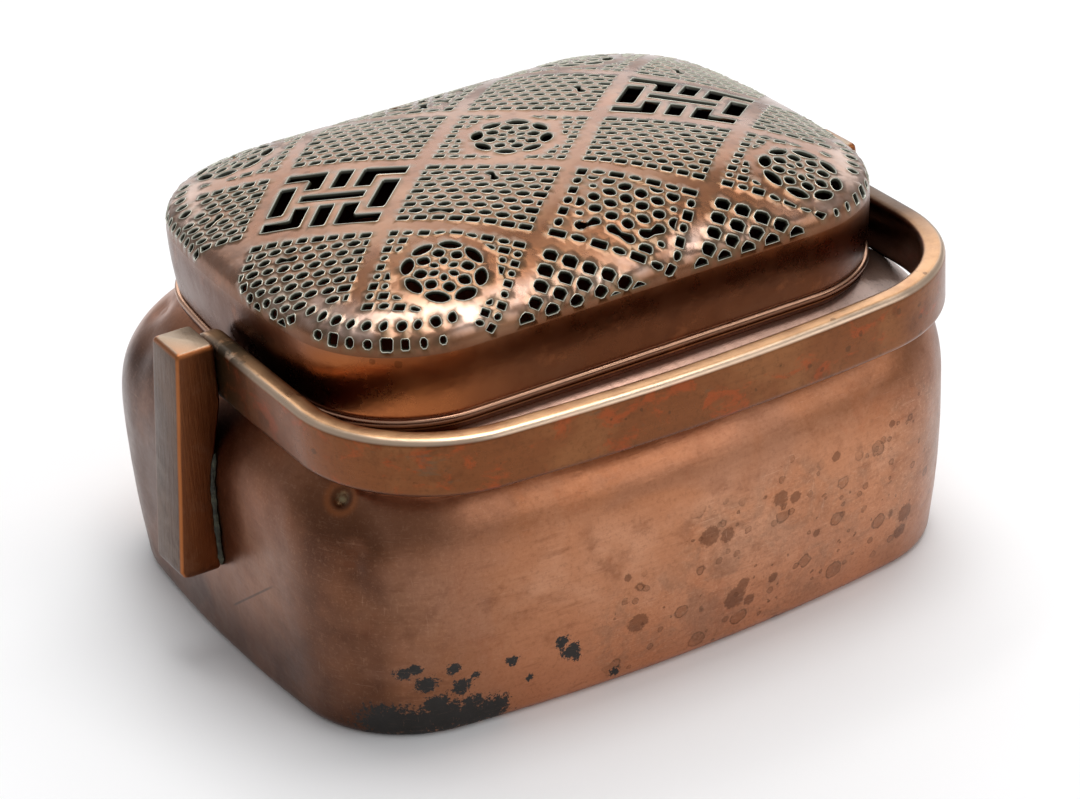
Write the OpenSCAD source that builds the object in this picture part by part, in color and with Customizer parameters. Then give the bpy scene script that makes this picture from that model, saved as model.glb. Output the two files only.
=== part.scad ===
/* [Vessel] */
// Length of the vessel over its bulge
body_l = 160; // [145:1:175]
// Width of the vessel over its bulge
body_w = 137; // [125:1:145]
// Height of the vessel to the top of its sloping shoulder
body_h = 63; // [58:1:68]
// Height at which the vessel is widest
bulge_z = 35; // [30:1:40]
// Thickness of the hammered copper wall
wall_t = 1.6; // [1.2:0.1:2.2]
// Corner radius of the vessel at its widest level
body_r = 31; // [24:1:34]
// Corner radius of the vessel at its foot
foot_r = 27; // [20:1:30]
// How far each short end draws in towards the foot
end_draw = 1; // [0:0.5:4]
// How far each long side draws in towards the foot
side_draw = 5; // [1:0.5:8]
// How far the long sides bow out in plan
body_bow = 3.6; // [1:0.2:6]
// How far the short ends bow out in plan
end_bow = 0.6; // [0.4:0.2:2]
// Radius of the edge round the foot
foot_edge = 2; // [1:0.5:4]
// Thickness of the base plate let into the foot
base_t = 1.6; // [1:0.2:3]

/* [Neck] */
// Height of the neck collar above the shoulder
neck_h = 13; // [10:1:15]
// Thickness of the neck collar
neck_t = 1.4; // [1:0.1:2]
// Height of the collar's foot under its bead
neck_foot = 2; // [1:0.2:2.6]
// Height of the bead that the lid rests on
bead_h = 2; // [1.4:0.2:2.4]
// How far the bead stands out past the lid wall
bead_out = 0.6; // [0.3:0.1:0.8]
// How far the collar's foot stands in from the lid wall
neck_foot_in = 1.2; // [0.8:0.1:1.4]

/* [Lid] */
// How far the lid wall stands in from the vessel's short ends
lid_end_in = 10.9; // [10.8:0.1:14]
// How far the lid wall stands in from the vessel's long sides
lid_side_in = 17.3; // [15:0.1:20]
// Corner radius of the lid
lid_r = 26.4; // [24:0.2:30]
// How far the lid ends bow out in plan
lid_bow = 1.6; // [0.8:0.2:3]
// Thickness of the lid sheet
lid_t = 1.2; // [1:0.1:1.6]
// Height of the plain lid wall
lid_wall_h = 13.8; // [11:0.2:16]
// How far the lid wall leans out over its height
lid_flare = 1.1; // [0.5:0.1:1.2]
// Radius of the rolled edge of the lid
roll_r = 7.6; // [4:0.2:8]
// Angle through which that edge rolls in, in degrees
roll_end = 35; // [30:5:60]
// Rise of the dome above its rolled edge
crown = 11.8; // [9:0.2:15]

/* [Openwork] */
// Half length of a lattice panel along the lid
panel_x = 21.4; // [19:0.2:22]
// Half width of a lattice panel across the lid
panel_y = 19; // [17:0.2:20]
// Width of the plain bands between panels
band_w = 2.6; // [2:0.2:3.4]
// Width of the metal between neighbouring holes
web_w = 1.5; // [1.2:0.1:2]
// Holes along each side of a fine mesh panel
mesh_n = 5; // [3:1:5]
// Holes along each side of an open mesh panel
open_n = 4; // [3:1:4]
// Width of the bars in a fret panel
fret_bar = 2; // [1.4:0.1:2.4]
// Petals in a rosette
petal_n = 8; // [6:1:10]
// Radius of the plain ring round a rosette
ring_r = 9.6; // [8.6:0.2:10.4]
// Width of that ring
ring_w = 1.7; // [1.2:0.1:2]
// Size of the small holes in the corners of a rosette panel
corner_hole = 2.6; // [2.2:0.2:2.8]
// Plain margin between the lid's edge and its openwork
open_margin = 2.6; // [2.4:0.2:5]

/* [Handle] */
// How far the handle's arms stand in from the vessel's short ends
arm_end_in = 4.1; // [2.5:0.1:4.5]
// How far the front bar stands out past the vessel's long side
bar_out = 6; // [4:0.5:10]
// Outer corner radius of the handle
handle_r = 32.6; // [26:0.2:36]
// How far the front bar bows out in plan
handle_bow = 2.4; // [1:0.2:4]
// Height of the strap
strap_h = 12.9; // [10:0.1:14]
// Thickness of the strap
strap_t = 5.2; // [4:0.1:5.4]
// Radius of the strap's edges
strap_edge = 1.7; // [1:0.1:2]

/* [Lugs and pins] */
// Width of a lug along the short end
lug_w = 11.6; // [10:0.2:14]
// Thickness of a lug at its top
lug_t = 8.6; // [7:0.2:10]
// Height of a lug above the top of the strap
lug_rise = 0.5; // [0:0.1:2]
// Height of a lug's lower end above the ground
lug_foot_z = 22; // [16:1:26]
// How far a lug leans out towards its lower end
lug_lean = 4.6; // [3:0.2:6]
// Bevel along a lug's outer edges
lug_bevel = 0.7; // [0.4:0.1:1.2]
// Bevel at a lug's foot
lug_toe = 1.5; // [0.8:0.1:2]
// Diameter of a pivot pin
pin_d = 4.2; // [3:0.1:5]
// Depth of a pivot pin in its lug
pin_depth = 6; // [4:0.5:7]
// Height of the lower rivet above the lug's foot
rivet_low = 8; // [6:0.5:10]
// Distance between the two rivets of a lug
rivet_pitch = 14; // [12:0.5:15]
// Diameter of a rivet shank
rivet_d = 3.4; // [2.6:0.1:4]
// Depth of a rivet in its lug
rivet_depth = 5; // [3:0.5:6]
// Diameter of a rivet head inside the vessel
rivet_head_d = 7; // [5:0.5:9]
// Height of a rivet head
rivet_head_h = 1.6; // [1:0.2:2.4]
// Width of the solder fillets beside a lug
solder_w = 1.4; // [0.8:0.1:2]

/* [Fits] */
// Gap between a seated piece and its seat
seat_gap = 0.25; // [0.2:0.05:0.4]
// Radial clearance of the handle's eyes on the pins
run_gap = 0.08; // [0.05:0.01:0.1]
// Clearance of fixed pins, rivets, solder and the base plate
fix_gap = 0.06; // [0.04:0.01:0.08]
// Gap between the lid wall and the neck collar
lid_gap = 0.5; // [0.4:0.1:0.8]
// Gap between the strap and its lug
lug_gap = 0.4; // [0.3:0.1:0.6]
// Space left behind a pin in its bore
pin_end_gap = 0.2; // [0.1:0.05:0.3]

/* [Hidden] */
$fn = 64;

// Steps along half a side, round a corner and round a quarter of an outline
side_steps = 4;
corner_steps = 8;
quarter_steps = 2 * side_steps + corner_steps;
ring_n = 4 * quarter_steps;
flat_bow = 0.1;

// Neck and lid sizes, as half lengths and half widths
lid_hl = body_l / 2 - lid_end_in;
lid_hw = body_w / 2 - lid_side_in;
neck_hl = lid_hl - lid_t - lid_gap;
neck_hw = lid_hw - lid_t - lid_gap;
neck_r = lid_r - lid_t - lid_gap;
bead_z = body_h + neck_foot;
lid_z = bead_z + bead_h + seat_gap;
lid_top_z = lid_z + lid_wall_h;
rim_in = roll_r * (1 - cos(roll_end));
rim_z = lid_top_z + roll_r * sin(roll_end);
dome_hl = lid_hl + lid_flare;
dome_hw = lid_hw + lid_flare;
dome_r = lid_r + lid_flare;

// Bevel of the bead's edges
bead_edge = 0.4;

// Shoulder sizes at the foot of the neck
lip_out = 0.3;
top_hl = neck_hl + lip_out;
top_hw = neck_hw + lip_out;
top_r = neck_r + lip_out;

// Handle and pivots: the arms rest on the shoulders of the short ends
arm_out = body_l / 2 - arm_end_in;
handle_reach = body_w / 2 + bar_out;
arm_in = arm_out - strap_t;
shoulder_drop = body_l / 2 - top_hl;
seat_u = pow((body_l / 2 - arm_in - strap_edge / 2) / shoulder_drop, 1 / 3);
pivot_z = bulge_z + (body_h - bulge_z) * seat_u + seat_gap + strap_h / 2;
lug_in = arm_out + lug_gap;
lug_top_z = pivot_z + strap_h / 2 + lug_rise;
rivet_zs = [lug_foot_z + rivet_low, lug_foot_z + rivet_low + rivet_pitch];

// Radius of a side that bows by e - r and meets the corner arc smoothly
function side_radius(c, e, r) = (c * c + e * e - r * r) / (2 * (e - r));

// Point j of the first quarter of a bowed rounded rectangle
function quarter_pt(hl, hw, r, bow_l, bow_e, j) =
  let (
    cx = hl - bow_e - r,
    cy = hw - bow_l - r,
    re = side_radius(cy, hl - cx, r),
    rl = side_radius(cx, hw - cy, r),
    ae = asin(cy / (re - r)),
    al = asin(cx / (rl - r)),
    k = j - side_steps
  )
  j < side_steps
    ? let (a = ae * j / side_steps) [hl - re + re * cos(a), re * sin(a)]
    : k <= corner_steps
      ? let (a = ae + (90 - al - ae) * k / corner_steps) [cx + r * cos(a), cy + r * sin(a)]
      : let (a = 90 - al * (quarter_steps - j) / side_steps)
        [rl * cos(a), hw - rl + rl * sin(a)];

// Point i of the whole outline, from +X counter-clockwise
function outline_pt(o, i) =
  let (
    q = floor(i / quarter_steps) % 4,
    m = i % quarter_steps,
    p = quarter_pt(o[0], o[1], o[2], o[3], o[4], q % 2 == 0 ? m : quarter_steps - m)
  )
  [(q == 0 || q == 3 ? 1 : -1) * p[0], (q < 2 ? 1 : -1) * p[1]];

function outline(o) = [for (i = [0:ring_n - 1]) outline_pt(o, i)];

// The same outline drawn in by d
function inset(o, d) = [o[0] - d, o[1] - d, o[2] - d, o[3], o[4]];

function mix(a, b, t) = a + (b - a) * t;

// Outline of the vessel's outer face at height z
function body_at(z) =
  let (
    low = z < bulge_z,
    w = low ? pow((bulge_z - z) / bulge_z, 2) : pow((z - bulge_z) / (body_h - bulge_z), 3),
    round_in = z < foot_edge ? foot_edge - sqrt(pow(foot_edge, 2) - pow(foot_edge - z, 2)) : 0,
    edge = round_in * 0.6
  )
  low
    ? [body_l / 2 - end_draw * w - edge, body_w / 2 - side_draw * w - edge,
       mix(body_r, foot_r, w) - edge, body_bow, end_bow + w]
    : [mix(body_l / 2, top_hl, w), mix(body_w / 2, top_hw, w), mix(body_r, top_r, w),
       mix(body_bow, flat_bow, w), mix(end_bow, lid_bow, w)];

lid_outline = [lid_hl, lid_hw, lid_r, flat_bow, lid_bow];
neck_outline = [neck_hl, neck_hw, neck_r, flat_bow, lid_bow];
dome_outline = [dome_hl, dome_hw, dome_r, flat_bow, lid_bow];

// Rings are [outline, height] and are joined in order into one closed skin
function ring_points(rings) = [for (g = rings) each [for (p = outline(g[0])) [p[0], p[1], g[1]]]];

function ring_quads(a, b, n) = [for (i = [0:n - 1])
  let (k = (i + 1) % n)
  each [[a * n + i, b * n + i, a * n + k], [a * n + k, b * n + i, b * n + k]]];

// A closed band: the last ring is joined to the first
module band_loft(rings) {
  count = len(rings);
  polyhedron(
    points = ring_points(rings),
    faces = [for (k = [0:count - 1]) each ring_quads((k + 1) % count, k, ring_n)]
  );
}

// A closed skin whose first and last rings end in fans about centre points
module capped_loft(points, n, first, last) {
  count = len(points) / n;
  tip = len(points);
  polyhedron(
    points = concat(points, [first, last]),
    faces = concat(
      [for (k = [0:count - 2]) each ring_quads(k + 1, k, n)],
      [for (i = [0:n - 1]) [tip, (i + 1) % n, i]],
      [for (i = [0:n - 1]) [tip + 1, (count - 1) * n + i, (count - 1) * n + (i + 1) % n]]
    )
  );
}

// Vessel
shell_zs = [0, foot_edge * 0.3, foot_edge, bulge_z * 0.3, bulge_z * 0.65, bulge_z];
shoulder_us = [0.35, 0.58, 0.74, 0.86, 0.94, 1];
shoulder_zs = [for (u = shoulder_us) mix(bulge_z, body_h, u)];

module body_shell() {
  zs = concat(shell_zs, shoulder_zs);
  inner_zs = [for (i = [len(zs) - 1:-1:0]) if (i != 1 && i != 3) zs[i]];
  color([0.66, 0.40, 0.29])
  difference() {
    band_loft(concat(
      [for (i = [len(zs) - 1:-1:0]) [body_at(zs[i]), zs[i]]],
      [for (i = [len(inner_zs) - 1:-1:0]) [inset(body_at(max(inner_zs[i], foot_edge)), wall_t), inner_zs[i]]]
    ));
    for (side = [-1, 1])
      for (z = rivet_zs)
        translate([side * body_l / 2, 0, z])
          rotate([0, 90, 0])
            cylinder(d = rivet_d + 2 * fix_gap, h = 6 * wall_t, center = true);
  }
}

module base_plate() {
  color([0.60, 0.37, 0.27])
  linear_extrude(height = base_t)
    polygon(outline(inset(body_at(foot_edge), wall_t + fix_gap)));
}

// Collar soldered in the mouth, with the bead that carries the lid
module neck_band() {
  bead_o = inset(lid_outline, -bead_out);
  top_z = body_h + neck_h;
  foot_o = inset(lid_outline, neck_foot_in);
  color([0.70, 0.44, 0.32])
  band_loft([
    [inset(neck_outline, neck_t), body_h],
    [inset(neck_outline, neck_t), top_z],
    [neck_outline, top_z],
    [neck_outline, bead_z + bead_h],
    [inset(bead_o, bead_edge), bead_z + bead_h],
    [bead_o, bead_z + bead_h * 0.7],
    [bead_o, bead_z + bead_h * 0.3],
    [inset(bead_o, bead_edge), bead_z],
    [foot_o, bead_z],
    [foot_o, body_h]
  ]);
}

// Lid
module lid_band() {
  color([0.58, 0.33, 0.21])
  band_loft([
    [inset(lid_outline, lid_t), lid_z],
    [inset(dome_outline, lid_t), lid_top_z],
    [dome_outline, lid_top_z],
    [lid_outline, lid_z]
  ]);
}

roll_angles = [for (i = [0:3]) roll_end * i / 3];

// Crown levels as shares of the way out, how fast the crown falls, points per level
crown_mid = 0.82;
crown_top = 0.42;
crown_power = 3.2;
mid_n = ring_n / 4;
top_n = ring_n / 8;

// Outline and height of the rolled edge, d inside its outer face
function roll_ring(a, d) =
  [inset(dome_outline, roll_r - (roll_r - d) * cos(a)), lid_top_z + (roll_r - d) * sin(a)];

// Every k-th point, from point o, of the rim outline scaled to crown level s
function crown_points(s, k, o, d) =
  let (pts = outline(inset(dome_outline, rim_in)), z = rim_z - d + crown * (1 - pow(s, crown_power)))
  [for (i = [o:k:ring_n - 1]) [pts[i][0] * s, pts[i][1] * s, z]];

function skin_points(d) = concat(
  ring_points([for (a = roll_angles) roll_ring(a, d)]),
  crown_points(crown_mid, ring_n / mid_n, 0, d),
  crown_points(crown_top, ring_n / top_n, ring_n / mid_n, d)
);

// Faces between a ring of na points and one of nb, which starts at its point o
function stitch(a, na, b, nb, o) =
  let (k = na / nb)
  [for (j = [0:nb - 1])
    let (first = k * j + o - k / 2 + na)
    each concat(
      [for (i = [first:first + k - 1]) [a + i % na, b + j, a + (i + 1) % na]],
      [[b + j, b + (j + 1) % nb, a + (first + k) % na]]
    )];

function skin_faces() =
  let (rolls = len(roll_angles), m = rolls * ring_n)
  concat(
    [for (k = [0:rolls - 2]) each ring_quads(k, k + 1, ring_n)],
    stitch(m - ring_n, ring_n, m, mid_n, 0),
    stitch(m, mid_n, m + mid_n, top_n, 1),
    [[for (i = [top_n - 1:-1:0]) m + mid_n + i]]
  );

function flipped(face) = [for (i = [len(face) - 1:-1:0]) face[i]];

// The domed sheet: an outer and an inner skin joined along the lower edge
module dome_skin() {
  outer = skin_points(0);
  inner = skin_points(lid_t);
  count = len(outer);
  faces = skin_faces();
  polyhedron(
    points = concat(outer, inner),
    faces = concat(
      faces,
      [for (f = faces) [for (v = flipped(f)) v + count]],
      [for (i = [0:ring_n - 1])
        let (k = (i + 1) % ring_n)
        each [[i, k, i + count], [k, k + count, i + count]]]
    )
  );
}

// Point of the openwork lattice: whole numbers of u and v lie on the bands
function cell(u, v) = [(u - v) * panel_x, (u + v) * panel_y];

lattice_pitch = 2 * panel_x * panel_y / norm([panel_x, panel_y]);
band_u = band_w / 2 / lattice_pitch;
fret_n = 5;

// How far a point lies outside the openwork's limit
function lid_out(p) =
  let (c = [dome_hl - lid_bow - dome_r, dome_hw - dome_r])
  norm([max(abs(p[0]) - c[0], 0), max(abs(p[1]) - c[1], 0)]) - dome_r + open_margin;

function all_inside(pts) = max([for (p = pts) lid_out(p)]) < 0;

module hole(pts) {
  if (all_inside(pts)) polygon(pts);
}

// A hole between lattice lines u0 to u1 and v0 to v1
module cell_hole(u0, u1, v0, v1) {
  hole([cell(u0, v0), cell(u1, v0), cell(u1, v1), cell(u0, v1)]);
}

// Regular mesh of n by n holes in the panel whose lowest corner is (pu, pv)
module mesh_panel(pu, pv, n) {
  pitch = (1 - 2 * band_u) / n;
  web = web_w / 2 / lattice_pitch;
  for (i = [0:n - 1])
    for (j = [0:n - 1])
      cell_hole(pu + band_u + i * pitch + web, pu + band_u + (i + 1) * pitch - web,
        pv + band_u + j * pitch + web, pv + band_u + (j + 1) * pitch - web);
}

// Key fret on a grid of five by five: slots over columns c0 to c1 and rows r0 to r1
module fret_slot(pu, pv, c0, c1, r0, r1) {
  pitch = (1 - 2 * band_u) / fret_n;
  g = fret_bar / 2 / lattice_pitch;
  function from(k) = band_u + k * pitch + (k == 0 ? 0 : g);
  function to(k) = band_u + (k + 1) * pitch - (k == fret_n - 1 ? 0 : g);
  cell_hole(pu + from(c0), pu + to(c1), pv + from(r0), pv + to(r1));
}

// Long slots at two sides, bent slots in the corners, short ones between, one in the heart
module fret_panel(pu, pv) {
  last = fret_n - 1;
  mid = last / 2;
  for (r = [0, last]) fret_slot(pu, pv, 1, last - 1, r, r);
  fret_slot(pu, pv, mid, mid, 1, last - 1);
  for (c = [0, last]) {
    inner = c == 0 ? [0, 1] : [last - 1, last];
    fret_slot(pu, pv, inner[0], inner[1], mid, mid);
    fret_slot(pu, pv, inner[0], inner[1], 1, 1);
    fret_slot(pu, pv, inner[0], inner[1], last - 1, last - 1);
    fret_slot(pu, pv, c, c, 0, 1);
    fret_slot(pu, pv, c, c, last - 1, last);
  }
}

// Rosette: petals round a heart inside a plain ring, small holes in the corners
module rosette_panel(pu, pv) {
  o = cell(pu + 0.5, pv + 0.5);
  step = 360 / petal_n;
  r_out = ring_r - ring_w / 2;
  r_mid = r_out * 0.52;
  r_in = r_out * 0.2;
  function at(r, a) = o + r * [cos(a), sin(a)];
  for (k = [0:petal_n - 1]) {
    a = k * step;
    w_out = step / 2 - 30 * web_w / r_out;
    hole([at(r_mid, a), at(r_out * 0.8, a + w_out), at(r_out, a + w_out * 0.5),
      at(r_out, a - w_out * 0.5), at(r_out * 0.8, a - w_out)]);
    hole([at(r_in + web_w * 0.7, a + step / 2), at(r_mid * 0.86, a + step * 0.78),
      at(r_mid * 1.18, a + step / 2), at(r_mid * 0.86, a + step * 0.22)]);
  }
  hole([for (k = [1:petal_n]) at(r_in, k * step)]);
  q = ring_r + ring_w / 2;
  for (su = [-1, 1])
    for (sv = [-1, 1])
      corner_holes(pu + 0.5, pv + 0.5, su, sv, q);
}

// Three holes in a corner of a rosette panel, outside the ring of radius q
module corner_holes(cu, cv, su, sv, q) {
  far = 0.5 - band_u - web_w / 2 / lattice_pitch;
  size = corner_hole / lattice_pitch;
  g = web_w / lattice_pitch;
  near = far - size;
  beside = near - g - size;
  cell_corner(cu, cv, su, sv, near, far, near, far, q);
  cell_corner(cu, cv, su, sv, beside, near - g, near, far, q);
  cell_corner(cu, cv, su, sv, near, far, beside, near - g, q);
}

module cell_corner(cu, cv, su, sv, a0, a1, b0, b1, q) {
  o = cell(cu, cv);
  pts = [cell(cu + su * a0, cv + sv * b0), cell(cu + su * a1, cv + sv * b0),
    cell(cu + su * a1, cv + sv * b1), cell(cu + su * a0, cv + sv * b1)];
  if (min([for (p = pts) norm(p - o)]) > q) hole(pts);
}

// Panels are named by their centre, counted in half panels from the lid's centre
module openwork() {
  for (i = [-3:3])
    for (j = [-3:3])
      if ((i + j) % 2 == 0) {
        pu = (i + j) / 2 - 0.5;
        pv = (j - i) / 2 - 0.5;
        if (abs(i) == 2 && j == 0) fret_panel(pu, pv);
        else if (i % 2 == 0 && abs(i) == abs(j)) rosette_panel(pu, pv);
        else if (i == 0 || abs(j) == 3) mesh_panel(pu, pv, open_n);
        else mesh_panel(pu, pv, mesh_n);
      }
}

module lid_top() {
  color([0.68, 0.43, 0.30])
  difference() {
    translate([0, 0, seat_gap]) dome_skin();
    translate([0, 0, lid_top_z - lid_t]) linear_extrude(height = roll_r + crown + 3 * lid_t) openwork();
  }
}

// Handle: a strap swept along its plan outline, with round ends about the pivots
handle_o = [arm_out, handle_reach, handle_r, handle_bow, flat_bow];
handle_i = inset(handle_o, strap_t);

// Section of the strap at an outer and an inner plan point, with half height h
function strap_ring(po, pi, h) =
  let (t = norm(po - pi), r = min(strap_edge, h * 0.9, t * 0.4))
  [for (c = [[1, 1, 0], [0, 1, 90], [0, 0, 180], [1, 0, 270]])
    each [for (a = [0, 45, 90])
      let (
        w = (c[0] == 1 ? t - r : r) + r * cos(c[2] + a),
        z = (c[1] == 1 ? h - r : r - h) + r * sin(c[2] + a),
        p = pi + (po - pi) * w / t
      )
      [p[0], p[1], pivot_z + z]]];

// Section of an arm's round end, drawn in near the tip so that its edge is rounded
function tip_ring(side, a, half) =
  let (
    over = max(0, half * sin(a) - half + strap_edge) / strap_edge,
    e = strap_edge * (1 - sqrt(1 - over * over))
  )
  strap_ring([side * (arm_out - e), half * sin(a)], [side * (arm_in + e), half * sin(a)], half * cos(a));

module handle() {
  half = strap_h / 2;
  tip_angles = [78, 60, 40, 20];
  left_tip = [for (a = tip_angles) tip_ring(-1, a, half)];
  right_tip = [for (i = [3:-1:0]) tip_ring(1, tip_angles[i], half)];
  along = [for (i = [2 * quarter_steps:4 * quarter_steps])
    strap_ring(outline_pt(handle_o, i % ring_n), outline_pt(handle_i, i % ring_n), half)];
  rings = concat(left_tip, along, right_tip);
  mid = arm_out - strap_t / 2;
  tip_y = half * sin(tip_angles[0]);
  color([0.69, 0.47, 0.30])
  difference() {
    capped_loft([for (g = rings) each g], 12, [-mid, tip_y, pivot_z], [mid, tip_y, pivot_z]);
    for (side = [-1, 1])
      translate([side * mid, 0, pivot_z])
        rotate([0, 90, 0])
          cylinder(d = pin_d + 2 * run_gap, h = strap_t + 2, center = true);
  }
}

// Lugs: blocks on the short ends, with an inner face that follows the vessel
lug_levels = [lug_foot_z, mix(lug_foot_z, bulge_z, 0.5), bulge_z, mix(bulge_z, body_h, 0.3), mix(bulge_z, body_h, 0.5)];

function lug_inner(z) = body_at(z)[0] + seat_gap;

// Height where the lug leaves the vessel and stands up beside the strap
lug_free_z = lug_levels[4];

module lug(side) {
  bottom_x = lug_in + lug_t + lug_lean;
  profile = concat(
    [[lug_in, lug_top_z], [lug_in, pivot_z - strap_h / 2]],
    [for (i = [4:-1:0]) [lug_inner(lug_levels[i]), lug_levels[i]]],
    [[bottom_x - lug_toe, lug_foot_z - lug_toe * 0.4], [bottom_x, lug_foot_z + lug_toe],
      [lug_in + lug_t, lug_top_z]]
  );
  color([0.64, 0.43, 0.27])
  mirror([side < 0 ? 1 : 0, 0, 0])
  difference() {
    intersection() {
      rotate([90, 0, 0])
        linear_extrude(height = lug_w, center = true) polygon(profile);
      lug_plan(bottom_x, lug_bevel);
    }
    translate([lug_in - 1, 0, pivot_z])
      rotate([0, 90, 0]) cylinder(d = pin_d + 2 * fix_gap, h = pin_depth + 1);
    for (z = rivet_zs)
      translate([lug_inner(z) - 1, 0, z])
        rotate([0, 90, 0]) cylinder(d = rivet_d + 2 * fix_gap, h = rivet_depth + 1);
  }
}

// Column with bevelled outer edges that trims the lug
module lug_plan(x, b) {
  translate([0, 0, lug_foot_z - lug_toe])
    linear_extrude(height = lug_top_z - lug_foot_z + 2 * lug_toe)
      polygon([[0, -lug_w / 2], [x - b, -lug_w / 2], [x, b - lug_w / 2],
        [x, lug_w / 2 - b], [x - b, lug_w / 2], [0, lug_w / 2]]);
}

module lug_left() { lug(-1); }
module lug_right() { lug(1); }

// Rivets through the vessel's wall, with heads inside
module lug_rivets(side) {
  color([0.62, 0.40, 0.28])
  mirror([side < 0 ? 1 : 0, 0, 0])
    for (z = rivet_zs) {
      head_x = min(body_at(z - rivet_head_d / 2)[0], body_at(z + rivet_head_d / 2)[0]) - wall_t - seat_gap;
      translate([head_x - rivet_head_h / 2, 0, z])
        rotate([0, 90, 0])
          cylinder(d = rivet_d, h = lug_inner(z) - head_x + rivet_depth + rivet_head_h / 2 - seat_gap);
      translate([head_x, 0, z])
        rotate([0, -90, 0]) cylinder(d1 = rivet_head_d, d2 = rivet_head_d * 0.6, h = rivet_head_h);
    }
}

module lug_rivets_left() { lug_rivets(-1); }
module lug_rivets_right() { lug_rivets(1); }

// Solder fillets up both sides of a lug
function solder_ring(sy, z) =
  let (
    x = body_at(z)[0] + fix_gap,
    y = lug_w / 2 + fix_gap
  )
  [[x, sy * y, z], [x, sy * (y + solder_w), z], [x + solder_w, sy * y, z]];

module solder_strip(sy) {
  rings = [for (z = lug_levels) solder_ring(sy, z)];
  order = sy > 0 ? [0, 1, 2] : [0, 2, 1];
  pts = [for (g = rings) each [for (k = order) g[k]]];
  count = len(lug_levels);
  polyhedron(points = pts, faces = concat(
    [for (k = [0:count - 2]) each ring_quads(k + 1, k, 3)],
    [[2, 1, 0]],
    [[3 * count - 3, 3 * count - 2, 3 * count - 1]]
  ));
}

module solder(side) {
  color([0.48, 0.47, 0.38])
  mirror([side < 0 ? 1 : 0, 0, 0]) {
    solder_strip(1);
    solder_strip(-1);
  }
}

module solder_left() { solder(-1); }
module solder_right() { solder(1); }

// Pivot pins, fixed in the lugs and flush with the inner face of the arms
module pivot_pin(side) {
  color([0.66, 0.45, 0.29])
  mirror([side < 0 ? 1 : 0, 0, 0])
    translate([arm_in, 0, pivot_z])
      rotate([0, 90, 0]) cylinder(d = pin_d, h = strap_t + lug_gap + pin_depth - pin_end_gap);
}

module pivot_pin_left() { pivot_pin(-1); }
module pivot_pin_right() { pivot_pin(1); }

body_shell();
base_plate();
neck_band();
lug_left();
lug_right();
lug_rivets_left();
lug_rivets_right();
solder_left();
solder_right();
pivot_pin_left();
pivot_pin_right();
handle();
lid_band();
lid_top();
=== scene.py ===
"""Looks of the copper hand warmer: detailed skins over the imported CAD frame, in metres."""

import functools
import math

import bpy
import numpy as np
from mathutils import Matrix, Vector, geometry


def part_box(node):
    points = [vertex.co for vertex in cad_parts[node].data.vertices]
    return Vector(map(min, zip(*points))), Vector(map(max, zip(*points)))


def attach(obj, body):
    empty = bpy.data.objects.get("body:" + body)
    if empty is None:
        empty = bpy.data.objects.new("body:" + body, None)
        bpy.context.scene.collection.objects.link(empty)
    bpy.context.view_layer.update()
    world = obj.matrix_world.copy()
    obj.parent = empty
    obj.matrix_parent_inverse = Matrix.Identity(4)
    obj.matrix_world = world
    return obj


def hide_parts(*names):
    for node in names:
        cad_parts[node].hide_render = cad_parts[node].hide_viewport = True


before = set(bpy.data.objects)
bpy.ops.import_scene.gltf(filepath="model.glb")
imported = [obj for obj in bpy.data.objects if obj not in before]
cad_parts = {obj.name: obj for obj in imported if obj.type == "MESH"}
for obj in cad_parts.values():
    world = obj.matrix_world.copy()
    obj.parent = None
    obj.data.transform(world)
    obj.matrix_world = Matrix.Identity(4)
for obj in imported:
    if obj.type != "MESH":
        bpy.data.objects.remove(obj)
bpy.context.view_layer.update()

MM = 0.001
TAU = 2 * math.pi


def box_mm(node):
    low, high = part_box(node)
    return np.array(low) / MM, np.array(high) / MM


def inset(o, d):
    """An outline's sizes (half length, half width, corner radius, bows) drawn in by d."""
    return (o[0] - d, o[1] - d, o[2] - d, o[3], o[4])


# Driving sizes in millimetres, taken from the frame
BODY_HL, BODY_HW, BODY_H = box_mm("body_shell")[1]
BAND_LOW, BAND_HIGH = box_mm("lid_band")
TOP_LOW, TOP_HIGH = box_mm("lid_top")
NECK_TOP_Z = box_mm("neck_band")[1][2]
BAIL_LOW, BAIL_HIGH = box_mm("handle")
LUG_LOW, LUG_HIGH = box_mm("lug_right")

BULGE_Z = 35.0
BODY_R, FOOT_R = 31.0, 27.0
BODY_BOW, END_BOW = 3.6, 0.6
END_DRAW, SIDE_DRAW = 1.0, 5.0
FOOT_EDGE, FOOT_SHARE = 2.2, 0.7
WALL_T = 1.6
# Kept free inside the CAD's box for the skins' unevenness
LIFT_ROOM, CROWN_ROOM, STRAP_ROOM = 0.2, 0.25, 0.05

LID_T = 1.2
LID_FLARE = 1.1
LID_BOW, FLAT_BOW = 1.6, 0.1
DOME_R = 27.5
DOME_O = (BAND_HIGH[0], BAND_HIGH[1], DOME_R, FLAT_BOW, LID_BOW)
LID_O = inset(DOME_O, LID_FLARE)
LID_Z, LID_TOP_Z = BAND_LOW[2], TOP_LOW[2]
ROLL_R, ROLL_END = 7.6, math.radians(35)
RIM_IN = ROLL_R * (1 - math.cos(ROLL_END))
RIM_Z = LID_TOP_Z + ROLL_R * math.sin(ROLL_END)
CROWN_POWER = 3.2
CROWN = TOP_HIGH[2] - RIM_Z - CROWN_ROOM

NECK_GAP, NECK_T = 0.5, 1.4
NECK_O = inset(LID_O, LID_T + NECK_GAP)
BEAD_OUT = 0.6
FOOT_IN = 1.2
LIP_OUT = 0.3

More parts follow.
